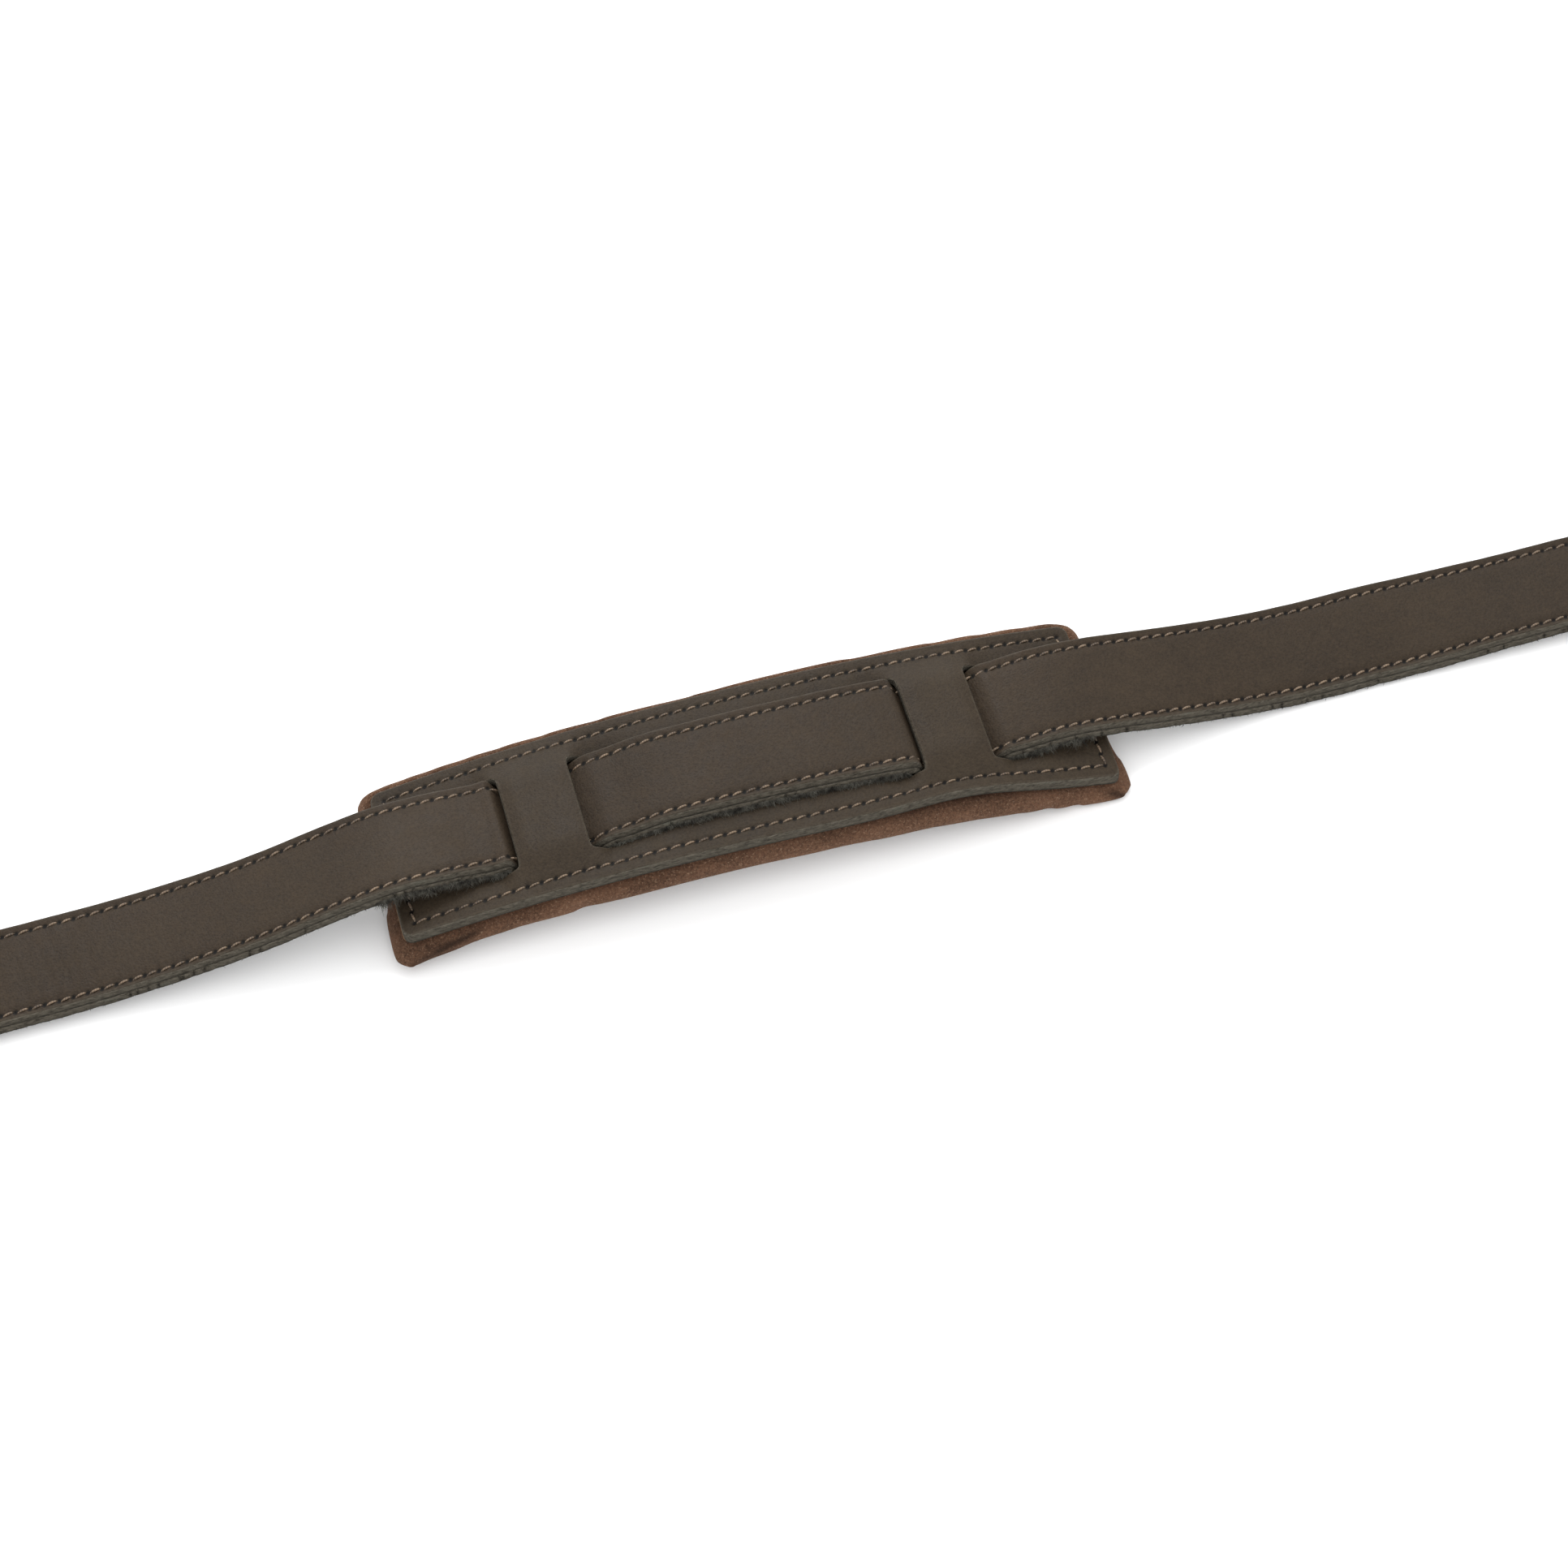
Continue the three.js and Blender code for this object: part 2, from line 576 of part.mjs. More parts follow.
function piece(name, geometry, finish) {
  const mesh = new THREE.Mesh(geometry, new THREE.MeshStandardMaterial(FINISHES[finish]));
  mesh.name = name;
  return mesh;
}

const pad = new THREE.Group();
pad.add(
  piece('pad_top_leather', padLeather(), 'leather'),
  piece('pad_lining', paddingLayer(LINING_BOTTOM, LINING_BOTTOM + LINING_THICKNESS, paddingRise),
    'suede'),
  piece('pad_foam_core', paddingLayer(FOAM_BOTTOM, FOAM_BOTTOM + FOAM_THICKNESS, arch), 'foam'),
  piece('pad_suede_cover', suedeCover(), 'suede'),
);
for (const [name, geometry] of Object.entries(padThreads())) {
  pad.add(piece(name, geometry, 'thread'));
}

const strap = new THREE.Group();
strap.add(
  piece('strap_top_ply', ply(PLY_THICKNESS + GAP), 'leather'),
  piece('strap_backing_ply', ply(0), 'rawEdge'),
  piece('front_button_tab', buttonTab(), 'leather'),
  piece('front_tab_stitching', tabThread(), 'thread'),
  piece('rear_tail', tail(), 'leather'),
);
for (const [name, geometry] of Object.entries(strapThreads())) {
  strap.add(piece(name, geometry, 'thread'));
}
screwPlaces.forEach((x, i) => {
  strap.add(piece(`screw_post_${i + 1}`, screwPost(x), 'nickel'));
  strap.add(piece(`tail_screw_${i + 1}`, screw(x), 'nickel'));
});

const guitarStrap = new THREE.Group();
guitarStrap.add(strap, pad);

export default guitarStrap;
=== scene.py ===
"""Leather guitar strap with a sliding shoulder pad, laid on a pale table.

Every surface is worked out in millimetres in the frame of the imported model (X along the strap,
Y across it, Z up, the table at zero) and becomes metres when its mesh is made.
"""

import logging
import math
from collections.abc import Callable
from dataclasses import dataclass, field
from enum import Enum

import bpy
import numpy as np
from mathutils import Matrix, Vector


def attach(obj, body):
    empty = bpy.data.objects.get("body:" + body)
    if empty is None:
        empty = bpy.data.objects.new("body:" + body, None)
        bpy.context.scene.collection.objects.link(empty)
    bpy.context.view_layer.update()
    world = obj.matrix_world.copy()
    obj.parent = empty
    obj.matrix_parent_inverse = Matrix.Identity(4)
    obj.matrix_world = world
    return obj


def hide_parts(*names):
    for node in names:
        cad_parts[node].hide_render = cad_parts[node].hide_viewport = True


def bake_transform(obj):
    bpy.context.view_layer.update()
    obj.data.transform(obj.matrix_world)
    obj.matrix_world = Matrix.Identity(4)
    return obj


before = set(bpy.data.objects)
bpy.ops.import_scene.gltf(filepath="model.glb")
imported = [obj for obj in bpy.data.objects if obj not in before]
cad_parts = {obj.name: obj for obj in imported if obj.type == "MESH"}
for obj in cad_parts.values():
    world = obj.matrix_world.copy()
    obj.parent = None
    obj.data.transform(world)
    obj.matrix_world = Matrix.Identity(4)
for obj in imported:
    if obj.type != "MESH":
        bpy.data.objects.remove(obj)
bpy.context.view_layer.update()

# Metres in a millimetre, the play between layers in millimetres, and a needle hole's radius.
MM = 0.001
GAP = 0.3
NEEDLE = 0.75
# Where the two posts stand, and the radius of the holes that they and the tail's row need.
SCREW_PLACES = (400.0, 425.0)
POST_HOLE = 2.7
LOG = logging.getLogger("strap")

Field = Callable[[np.ndarray, np.ndarray], np.ndarray]


class Body(str, Enum):
    """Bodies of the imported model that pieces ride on."""

    STRAP = "strap"
    PAD = "shoulder_pad"
    SCREW_1 = "screw_1"
    SCREW_2 = "screw_2"


# ------------------------------------------------------------------ helpers on numbers


def smooth(start: float, end: float, value: np.ndarray) -> np.ndarray:
    """Smooth step, 3t^2 - 2t^3, from 0 at start to 1 at end."""
    t = np.clip((np.asarray(value, float) - start) / (end - start), 0.0, 1.0)
    return t * t * (3.0 - 2.0 * t)


def bump(centre: float, width: float, value: np.ndarray) -> np.ndarray:
    """Bell exp(-((v - centre) / width)^2)."""
    return np.exp(-(((np.asarray(value, float) - centre) / width) ** 2))


def along_knots(knots: list[tuple[float, float]], place: np.ndarray) -> np.ndarray:
    """Height along [place, height] knots, level at each knot: a sum of smooth steps.

    Args:
        knots: places in rising order with their heights.
        place: where the height is wanted.

    Returns:
        The height at each place.
    """
    height = np.full_like(np.asarray(place, float), knots[0][1])
    for (x0, z0), (x1, z1) in zip(knots, knots[1:]):
        height = height + (z1 - z0) * smooth(x0, x1, place)
    return height


def through_points(points: list[tuple[float, float]], place: np.ndarray) -> np.ndarray:
    """Cubic through points, its slope at each inner point taken from its two neighbours.

    Args:
        points: places in rising order with their values.
        place: where the value is wanted; past either end the end value holds.

    Returns:
        The value at each place.
    """
    px, pz = np.array(points, float).T
    slope = np.zeros_like(px)
    slope[1:-1] = (pz[2:] - pz[:-2]) / (px[2:] - px[:-2])
    x = np.clip(np.asarray(place, float), px[0], px[-1])
    i = np.clip(np.searchsorted(px, x) - 1, 0, len(px) - 2)
    run = px[i + 1] - px[i]
    t = (x - px[i]) / run
    step = t * t * (3 - 2 * t)
    lean = slope[i] * run * t * (1 - t) ** 2 + slope[i + 1] * run * t**2 * (t - 1)
    return pz[i] + (pz[i + 1] - pz[i]) * step + lean


def spaced(start: float, end: float, step: float) -> np.ndarray:
    """Evenly spaced places from start to end, about a step apart."""
    return np.linspace(start, end, max(2, int(round((end - start) / step)) + 1))


def places(*runs: np.ndarray, nearest: float = 0.05) -> np.ndarray:
    """Sorted places of all runs, with any nearer than `nearest` to the one before left out."""
    every = np.sort(np.concatenate([np.atleast_1d(run) for run in runs]))
    return every[np.concatenate([[True], np.diff(every) > nearest])]


def drift(value: np.ndarray, seed: int, longest: float, waves: int = 5) -> np.ndarray:
    """Slow wander of about unit size: sines of falling length with seeded phases.

    Args:
        value: where it is wanted.
        seed: picks the phases.
        longest: longest wave in millimetres.
        waves: how many sines.

    Returns:
        The wander at each place.
    """
    rng = np.random.default_rng(seed)
    lengths = longest / (1.0 + np.arange(waves) * 0.83)
    phases = rng.uniform(0, 2 * math.pi, waves)
    sizes = 1.0 / (1.0 + 0.6 * np.arange(waves))
    parts = [
        size * np.sin(2 * math.pi * np.asarray(value, float) / length + phase)
        for size, length, phase in zip(sizes, lengths, phases)
    ]
    return np.sum(parts, axis=0) / sizes.sum()


def rounded_box(
    x: np.ndarray, y: np.ndarray, left: float, right: float, half: float,
    left_radius: float, right_radius: float,
) -> np.ndarray:
    """Signed distance to a rectangle with rounded corners, below zero inside.

    Args:
        x: places along.
        y: places across.
        left: the rectangle's left side.
        right: its right side.
        half: half its width.
        left_radius: radius of its two left corners.
        right_radius: radius of its two right corners.

    Returns:
        Distance to the outline at each place.
    """
    middle, reach = (left + right) / 2, (right - left) / 2
    radius = np.where(x < middle, left_radius, right_radius)
    qx = np.abs(x - middle) - reach + radius
    qy = np.abs(y) - half + radius
    outside = np.hypot(np.maximum(qx, 0), np.maximum(qy, 0))
    return outside + np.minimum(np.maximum(qx, qy), 0) - radius


def disc(x: np.ndarray, y: np.ndarray, cx: float, cy: float, radius: float) -> np.ndarray:
    """Signed distance to a circle, below zero inside."""
    return np.hypot(x - cx, y - cy) - radius


# ------------------------------------------------------------------ surfaces


@dataclass
class Surface:
    """Points in millimetres with their faces and one number per point for each mark."""

    points: np.ndarray
    quads: np.ndarray
    triangles: np.ndarray = field(default_factory=lambda: np.zeros((0, 3), int))
    marks: dict[str, np.ndarray] = field(default_factory=dict)

    def joined(self, other: "Surface") -> "Surface":
        """Both surfaces as one; a mark that only one of them has is zero on the other.

        Args:
            other: the surface to add.

        Returns:
            The joined surface.
        """
        shift = len(self.points)
        keys = {**self.marks, **other.marks}
        marks = {
            key: np.concatenate([
                self.marks.get(key, np.zeros(len(self.points))),
                other.marks.get(key, np.zeros(len(other.points))),
            ])
            for key in keys
        }
        return Surface(
            np.vstack([self.points, other.points]),
            np.vstack([self.quads, other.quads + shift]),
            np.vstack([self.triangles, other.triangles + shift]),
            marks,
        )

    def to_object(self, name: str, material: bpy.types.Material) -> bpy.types.Object:
        """Makes the surface a smooth-shaded mesh object at the origin.

        Args:
            name: the piece's name.
            material: its finish.

        Returns:
            The new object.
        """
        mesh = bpy.data.meshes.new(name)
        faces = self.quads.tolist() + self.triangles.tolist()
        mesh.from_pydata((self.points * MM).tolist(), [], faces)
        mesh.polygons.foreach_set("use_smooth", np.ones(len(faces), bool))
        for key, values in self.marks.items():
            layer = mesh.attributes.new(key, "FLOAT", "POINT")
            layer.data.foreach_set("value", values.astype(np.float32))
        mesh.materials.append(material)
        piece = bpy.data.objects.new(name, mesh)
        bpy.context.scene.collection.objects.link(piece)
        return piece


def quarter_round(inset: np.ndarray, radius: float) -> np.ndarray:
    """Drop of a rounded edge: radius * (1 - sqrt(1 - (1 - inset / radius)^2))."""
    t = 1 - np.clip(inset / radius, 0, 1)
    return radius * (1 - np.sqrt(1 - t * t))


@dataclass
class Slab:
    """A layer of leather or cloth cut to an outline and laid on height functions.

    Attributes:
        xs: grid lines along.
        ys: grid lines across.
        outline: signed distance to the cut outline, below zero on material.
        top: height of the upper face.
        bottom: height of the lower face.
        rim: radius of the upper edge.
        foot: radius of the lower edge.
        bulge: how far the cut side stands out at its middle.
        splay: how far the lower edge of the near side stands out past its upper edge.
        rows: quads up the cut side.
        hole_shade: how much painted shade a needle hole gets at a place on the upper face.
    """

    xs: np.ndarray
    ys: np.ndarray
    outline: Field
    top: Field
    bottom: Field
    rim: float = 0.6
    foot: float = 0.3
    bulge: float = 0.1
    splay: float = 0.0
    rows: int = 3
    hole_shade: Field | None = None

    def _slope(self, x: np.ndarray, y: np.ndarray) -> tuple[np.ndarray, np.ndarray]:
        """Unit slope of the outline's distance, which points off the material.

        Args:
            x: places along.
            y: places across.

        Returns:
            Its two parts.
        """
        step = 0.02
        gx = self.outline(x + step, y) - self.outline(x - step, y)
        gy = self.outline(x, y + step) - self.outline(x, y - step)
        size = np.maximum(np.hypot(gx, gy), 1e-9)
        return gx / size, gy / size

    def surface(self, warp: Callable[[np.ndarray], np.ndarray] | None = None) -> Surface:
        """Keeps the grid's cells whose middles are inside the outline, moves their outer points
        onto it, rounds the edges by their distance from it, and joins both faces with a wall.

        Args:
            warp: moves the finished points, such as the lean of the pad.

        Returns:
            The closed surface, with marks "wall", "inset" and "hole_shade", the last for the
            painted shade of the needle holes.
        """
        x, y = np.meshgrid(self.xs, self.ys, indexing="ij")
        mid_x = (x[:-1, :-1] + x[1:, 1:]) / 2
        mid_y = (y[:-1, :-1] + y[1:, 1:]) / 2
        keep = self.outline(mid_x, mid_y) < 0
        touched = np.zeros(x.shape, int)
        for di, dj in ((0, 0), (1, 0), (0, 1), (1, 1)):
            touched[di:di + keep.shape[0], dj:dj + keep.shape[1]] += keep
        used, rim_here = touched > 0, (touched > 0) & (touched < 4)
        for _ in range(3):
            gx, gy = self._slope(x[rim_here], y[rim_here])
            away = self.outline(x[rim_here], y[rim_here])
            x[rim_here] -= away * gx
            y[rim_here] -= away * gy
        inset = np.where(rim_here, 0, np.maximum(-self.outline(x, y), 0))[used]
        ids = np.full(x.shape, -1)
        ids[used] = np.arange(used.sum())
        px, py = x[used], y[used]
        top = self.top(px, py) - quarter_round(inset, self.rim)
        low = self.bottom(px, py) + quarter_round(inset, self.foot)
        count = len(px)

        i, j = np.nonzero(keep)
        upper = np.stack([ids[i, j], ids[i + 1, j], ids[i + 1, j + 1], ids[i, j + 1]], 1)
        lower = upper[:, ::-1] + count

        padded_keep = np.pad(keep, 1)
        edges = []
        corner = {"a": (0, 0), "b": (1, 0), "c": (1, 1), "d": (0, 1)}
        for (ni, nj), start, end in (
            ((0, -1), "a", "b"), ((1, 0), "b", "c"), ((0, 1), "c", "d"), ((-1, 0), "d", "a"),
        ):
            open_side = keep & ~padded_keep[
                1 + ni:1 + ni + keep.shape[0], 1 + nj:1 + nj + keep.shape[1]
            ]
            ci, cj = np.nonzero(open_side)
            (ai, aj), (bi, bj) = corner[start], corner[end]
            edges.append(np.stack([ids[ci + ai, cj + aj], ids[ci + bi, cj + bj]], 1))
        edge = np.vstack(edges)

        rim_ids = ids[rim_here]
        order = np.full(count, -1)
        order[rim_ids] = np.arange(len(rim_ids))
        gx, gy = self._slope(px[rim_ids], py[rim_ids])
        layers, walls, down = [], [], [np.zeros(count), np.ones(count)]
        below = edge + count
        for k in range(1, self.rows + 1):
            if k < self.rows:
                s = k / self.rows
                down.append(np.full(len(rim_ids), 1 - s))
                out = self.bulge * 4 * s * (1 - s)
                height = low[rim_ids] * (1 - s) + top[rim_ids] * s
                layers.append(np.stack(
                    [px[rim_ids] + gx * out, py[rim_ids] + gy * out, height], 1,
                ))
                above = order[edge] + 2 * count + (k - 1) * len(rim_ids)
            else:
                above = edge
            walls.append(np.stack([below[:, 0], below[:, 1], above[:, 1], above[:, 0]], 1))
            below = above

        on_rim = np.zeros(count)
        on_rim[rim_ids] = 1
        wall_count = len(rim_ids) * (self.rows - 1)
        # Share of painted shade for the needle holes on the upper face.
        hole_shade = np.zeros(count) if self.hole_shade is None else self.hole_shade(px, py)
        marks = {
            "wall": np.concatenate([0.55 * on_rim, on_rim, np.ones(wall_count)]),
            "inset": np.concatenate([inset, inset, np.zeros(wall_count)]),
            "under": np.concatenate([np.zeros(count), np.ones(count), 0.4 * np.ones(wall_count)]),
            "hole_shade": np.concatenate([hole_shade, np.zeros(count + wall_count)]),
        }
        points = np.vstack([
            np.stack([px, py, top], 1), np.stack([px, py, low], 1), *layers,
        ])
        near = smooth(self.ys[0] + 5.0, self.ys[0] + 1.0, points[:, 1])
        points[:, 1] -= self.splay * near * np.concatenate(down)
        if warp is not None:
            points = warp(points)
        return Surface(points, np.vstack([upper, lower, *walls]), marks=marks)


def stitch_row(
    holes: np.ndarray, radius: float, lift: float, sink: float, slant: float,
) -> Surface:
    """One row of saddle stitches: each is a short thread that rises out of one needle hole, lies
    on the leather at a slight angle and goes down the next. Its middle line is the straight run
    between the holes plus lift * sin(pi u)^0.6, and its section is a hexagon.

    Args:
        holes: places of the needle holes on the leather, in order.
        radius: half the thread's thickness.
        lift: height of the thread's middle line over the leather.
        sink: how far its ends go down the holes.
        slant: how far the two ends of a stitch stand apart across the row.

    Returns:
        The stitches, with the mark "twist" running along each.
    """
    start, end = holes[:-1, None], holes[1:, None]
    u = np.linspace(0, 1, 7)
    rise = np.sin(math.pi * np.clip(u, 0, 1)) ** 0.6
    forward = end - start
    forward = forward / np.linalg.norm(forward, axis=2, keepdims=True)
    up = np.array([0.0, 0.0, 1.0])
    side = np.cross(up, forward)
    side = side / np.linalg.norm(side, axis=2, keepdims=True)
    reach = (0.1 + 0.8 * u)[None, :, None]
    spine = start + (end - start) * reach + side * (slant * (u - 0.5))[None, :, None]
    spine = spine + up * (-sink + (lift + sink) * rise)[None, :, None]
    turn = np.arange(6) * math.pi / 3
    thick = radius * (0.45 + 0.55 * rise)
    ring = (
        side[:, :, None] * (np.cos(turn)[None, None, :, None])
        + up * (np.sin(turn) * 0.85)[None, None, :, None]
    )
    points = spine[:, :, None] + ring * thick[None, :, None, None]
    count, rings, sides = points.shape[:3]
    grid = np.arange(count * rings * sides).reshape(count, rings, sides)
    ahead = np.roll(grid, -1, axis=2)
    walls = np.stack([grid[:, :-1], ahead[:, :-1], ahead[:, 1:], grid[:, 1:]], -1).reshape(-1, 4)
    first, last = grid[:, 0], grid[:, -1]
    caps = np.vstack([
        first[:, [3, 2, 1, 0]], first[:, [5, 4, 3, 0]],
        last[:, [0, 1, 2, 3]], last[:, [0, 3, 4, 5]],
    ])
    twist = np.broadcast_to(u[None, :, None], (count, rings, sides)).ravel()
    return Surface(
        points.reshape(-1, 3), np.vstack([walls, caps]),
        marks={"twist": twist + np.repeat(np.arange(count), rings * sides)},
    )


def fibres(
    roots: np.ndarray, reach: np.ndarray, curl: np.ndarray, radius: float,
) -> Surface:
    """Loose leather fibres: three-sided hairs whose middle line is root + t * reach + t^2 * curl
    and whose thickness falls from the root to a fine tip.

    Args:
        roots: where each fibre leaves the leather.
        reach: from root towards tip.
        curl: how the tip bends away.
        radius: half a fibre's thickness at its root.

    Returns:
        All fibres as one surface.
    """
    t = np.array([0.0, 0.4, 0.75, 1.0])
    along, bent = t[None, :, None], (t**2)[None, :, None]
    spine = roots[:, None] + reach[:, None] * along + curl[:, None] * bent
    side = np.cross(reach, np.array([0.31, 0.17, 0.93]))
    side = side / np.maximum(np.linalg.norm(side, axis=1, keepdims=True), 1e-6)
    other = np.cross(reach / np.linalg.norm(reach, axis=1, keepdims=True), side)
    turn = np.arange(3) * 2 * math.pi / 3
    thick = radius * (1 - 0.8 * t)
    ring = (
        side[:, None, None] * np.cos(turn)[None, None, :, None]
        + other[:, None, None] * np.sin(turn)[None, None, :, None]
    )
    points = spine[:, :, None] + ring * thick[None, :, None, None]
    count, rings, sides = points.shape[:3]
    grid = np.arange(count * rings * sides).reshape(count, rings, sides)
    ahead = np.roll(grid, -1, axis=2)
    walls = np.stack([grid[:, :-1], ahead[:, :-1], ahead[:, 1:], grid[:, 1:]], -1).reshape(-1, 4)
    caps = np.vstack([grid[:, 0][:, ::-1], grid[:, -1]])
    return Surface(points.reshape(-1, 3), walls, caps)


def turned(profile: list[tuple[float, float]], x: float, segments: int = 48) -> Surface:
    """A turned piece: the profile's [radius, height] points carried round an upright axis.

    Args:
        profile: points from the bottom of the axis to its top, anticlockwise.
        x: where the axis stands.
        segments: steps round it.

    Returns:
        The closed surface.
    """
    inner = np.array(profile[1:-1], float)
    angle = np.arange(segments) * 2 * math.pi / segments
    px = x + inner[:, :1] * np.cos(angle)
    py = inner[:, :1] * np.sin(angle)
    pz = np.broadcast_to(inner[:, 1:], px.shape)
    rings = np.stack([px, py, pz], -1).reshape(-1, 3)
    poles = np.array([[x, 0, profile[0][1]], [x, 0, profile[-1][1]]])
    grid = np.arange(len(rings)).reshape(len(inner), segments)
    ahead = np.roll(grid, -1, axis=1)
    walls = np.stack([grid[:-1], ahead[:-1], ahead[1:], grid[1:]], -1).reshape(-1, 4)
    foot, head = len(rings), len(rings) + 1
    fans = np.vstack([
        np.stack([np.full(segments, foot), ahead[0], grid[0]], 1),
        np.stack([np.full(segments, head), grid[-1], ahead[-1]], 1),
    ])
    return Surface(np.vstack([rings, poles]), walls, fans)


# ------------------------------------------------------------------ how the strap lies


@dataclass(frozen=True)
class Layers:
    """Thicknesses of the strap's and pad's layers, and the heights that follow from them."""

    ply: float = 2.2
    suede: float = 1.2
    foam: float = 5.6
    lining: float = 0.9
    leather: float = 4.3
    end_leather: float = 3.5

    @property
    def strap(self) -> float:
        """Both plies and the glue line."""
        return 2 * self.ply + GAP

    @property
    def lining_bottom(self) -> float:
        """Underside of the lining over the pad's underside."""
        return self.suede + self.foam + 2 * GAP

    @property
    def leather_bottom(self) -> float:
        """Underside of the pad's leather over the pad's underside."""
        return self.lining_bottom + self.lining + GAP

    @property
    def leather_top(self) -> float:
        """Top of the pad's leather over the pad's underside."""
        return self.leather_bottom + self.leather

    @property
    def end_seat(self) -> float:
        """Underside of the strap where it lies on the tab or the tail."""
        return self.end_leather + GAP


@dataclass(frozen=True)
class Lay:
    """How the whole strap lies on the table: arch of the pad, its twist and lean, and the waves
    of the strap on either side."""

    layers: Layers = Layers()
    strap_width: float = 38.0
    pad_half: float = 131.0
    pad_width: float = 65.0
    arch_rise: float = 12.3
    arch_power: float = 2.1
    bridge_inset: float = 44.4
    bridge_width: float = 25.4
    slot_width: float = 7.5
    slot_clearance: float = 1.5
    press: float = 1.6
    press_run: float = 12.0
    lift: float = 4.2
    sunk: float = 3.2
    sunk_run: float = 24.0
    curl_up: float = 1.5
    curl_in: float = 2.2
    twist: float = 3.0
    stitched_half: float = 33.0
    lean: float = -0.019
    tab_right: float = -485.0
    tail_left: float = 335.0
    strap_left: float = -520.0
    strap_right: float = 440.0
    left_waves: tuple = (
        (0, 1.64), (0.07, 1.3), (0.14, 0.88), (0.21, 0.57), (0.3, 0.33), (0.4, 0.26),
        (0.57, 0.17), (0.75, 0.02), (0.88, 0.04),
    )
    right_waves: tuple = (
        (0, 1.32), (0.12, 0.9), (0.25, 0.5), (0.38, 0.26), (0.57, 0.23), (0.79, 0.26),
    )
    bulges: tuple[float, float] = (1.6, 1.49)
    seat_run: float = 3.0

    @property
    def bridge_end(self) -> float:
        """Pad middle to a bridge's outer edge."""
        return self.pad_half - self.bridge_inset

    @property
    def bridge_start(self) -> float:
        """Pad middle to a bridge's inner edge."""
        return self.bridge_end - self.bridge_width

    @property
    def inner_slot(self) -> float:
        """Pad middle to an inner slot's near side."""
        return self.bridge_start - self.slot_width

    @property
    def outer_slot(self) -> float:
        """Pad middle to an outer slot's far side."""
        return self.bridge_end + self.slot_width

    @property
    def press_end(self) -> float:
        """From here to the pad's end its leather is at its own level."""
        return self.outer_slot + self.press_run

    @property
    def slot_half(self) -> float:
        """Half a slot's length."""
        return self.strap_width / 2 + self.slot_clearance

    def arch(self, x: np.ndarray) -> np.ndarray:
        """Rise of the pad's underside: rise * (1 - |x / half|^power)."""
        share = np.minimum(np.abs(x) / self.pad_half, 1)
        return self.arch_rise * (1 - share**self.arch_power)

    def roll(self, x: np.ndarray) -> np.ndarray:
        """Height gained for each millimetre towards the far side, from the pad's twist.

        Args:
            x: places along.

        Returns:
            Height per millimetre across.
        """
        full = self.twist / self.stitched_half * np.clip(x / self.pad_half, -1, 1)
        left = smooth(-262, -165, x)
        right = 1 - smooth(238, 312, x)
        more = 0.026 * smooth(120, 158, x) * right
        return full * left * right + more

    def crown(self, y: np.ndarray) -> np.ndarray:
        """Share of a bridge's lift across the pad: full in the middle, none by the long rows."""
        return 1 - smooth(self.strap_width / 2 - 6, self.pad_width / 2 - 1.5, np.abs(y))

    def leather_rise(self, x: np.ndarray, y: np.ndarray) -> np.ndarray:
        """Arch, twist and curl, plus the bridges' lift and the press of the leather beside them,
        which is deepest inside the left bridge.

        Args:
            x: places along.
            y: places across.

        Returns:
            Height over the pad's flat layers.
        """
        out, slot = np.abs(x), self.inner_slot
        run = np.where(x < 0, self.sunk_run, self.press_run)
        inner = np.where(x < 0, self.sunk, self.press)
        before = np.where(
            out < slot, -inner * smooth(slot - run, slot, out),
            (self.press - inner) * (1 - smooth(slot, self.bridge_start, out)),
        )
        knots = [
            (self.inner_slot - 0.01, 0), (self.inner_slot, -self.press),
            (self.bridge_start - 1.2, self.lift * 0.72), (self.bridge_start + 5, self.lift),
            (self.bridge_end - 5, self.lift), (self.bridge_end + 1.2, self.lift * 0.72),
            (self.outer_slot, -self.press), (self.press_end, 0),
        ]
        shape = (before + along_knots(knots, out)) * self.crown(y)
        return self.arch(x) + self.roll(x) * y + shape + self.curl_up * self.curl(x, y)

    def curl(self, x: np.ndarray, y: np.ndarray) -> np.ndarray:
        """Where the right bridge's pull curls the near edge up: a bell along, a rise across."""
        return bump(74, 27, x) * smooth(-15, -32, y)

    def strap_bottom(self, x: np.ndarray, y: np.ndarray) -> np.ndarray:
        """Underside of the strap: woven through the slots, up over the pad's ends, then in long
        low waves down to the tab and the tail.

        Args:
            x: places along.
            y: places across.

        Returns:
            The height of the underside.
        """
        layers = self.layers
        thread_room = 2 * GAP + 0.4
        under = layers.leather_bottom + self.lift - thread_room - layers.strap
        over, inner, outer = layers.leather_top + GAP, self.bridge_start, self.bridge_end
        pressed = (over - 0.5, over - 1.2)
        knots = [
            (-self.outer_slot, pressed[0]), (-outer - 3.2, over - 0.9), (-outer, under + 0.1),
            (-outer + 4.5, under), (-inner - 5, under), (-inner, under + 0.2),
            (-inner + 3.7, under + 1.6), (-self.inner_slot, over - 3.0),
            (-self.inner_slot + 8, over - 2.2), (-self.inner_slot + 16, over - 0.8),
            (-self.inner_slot + 25, over),
            (self.inner_slot - 9, over), (self.inner_slot, over - 0.3),
            (inner - 3.0, over - 1.0), (inner, under + 0.1), (inner + 4.5, under),
            (outer - 5, under), (outer, under + 0.2), (outer + 3.4, under + 2.7),
            (self.outer_slot, pressed[1]),
        ]
        cupped = self.lift * (1 - self.crown(y)) * smooth(self.inner_slot + 3, inner, np.abs(x))
        woven = self.arch(x) + through_points(knots, x)
        woven = woven - cupped * (1 - smooth(outer, self.outer_slot - 3, np.abs(x)))
        runs = []
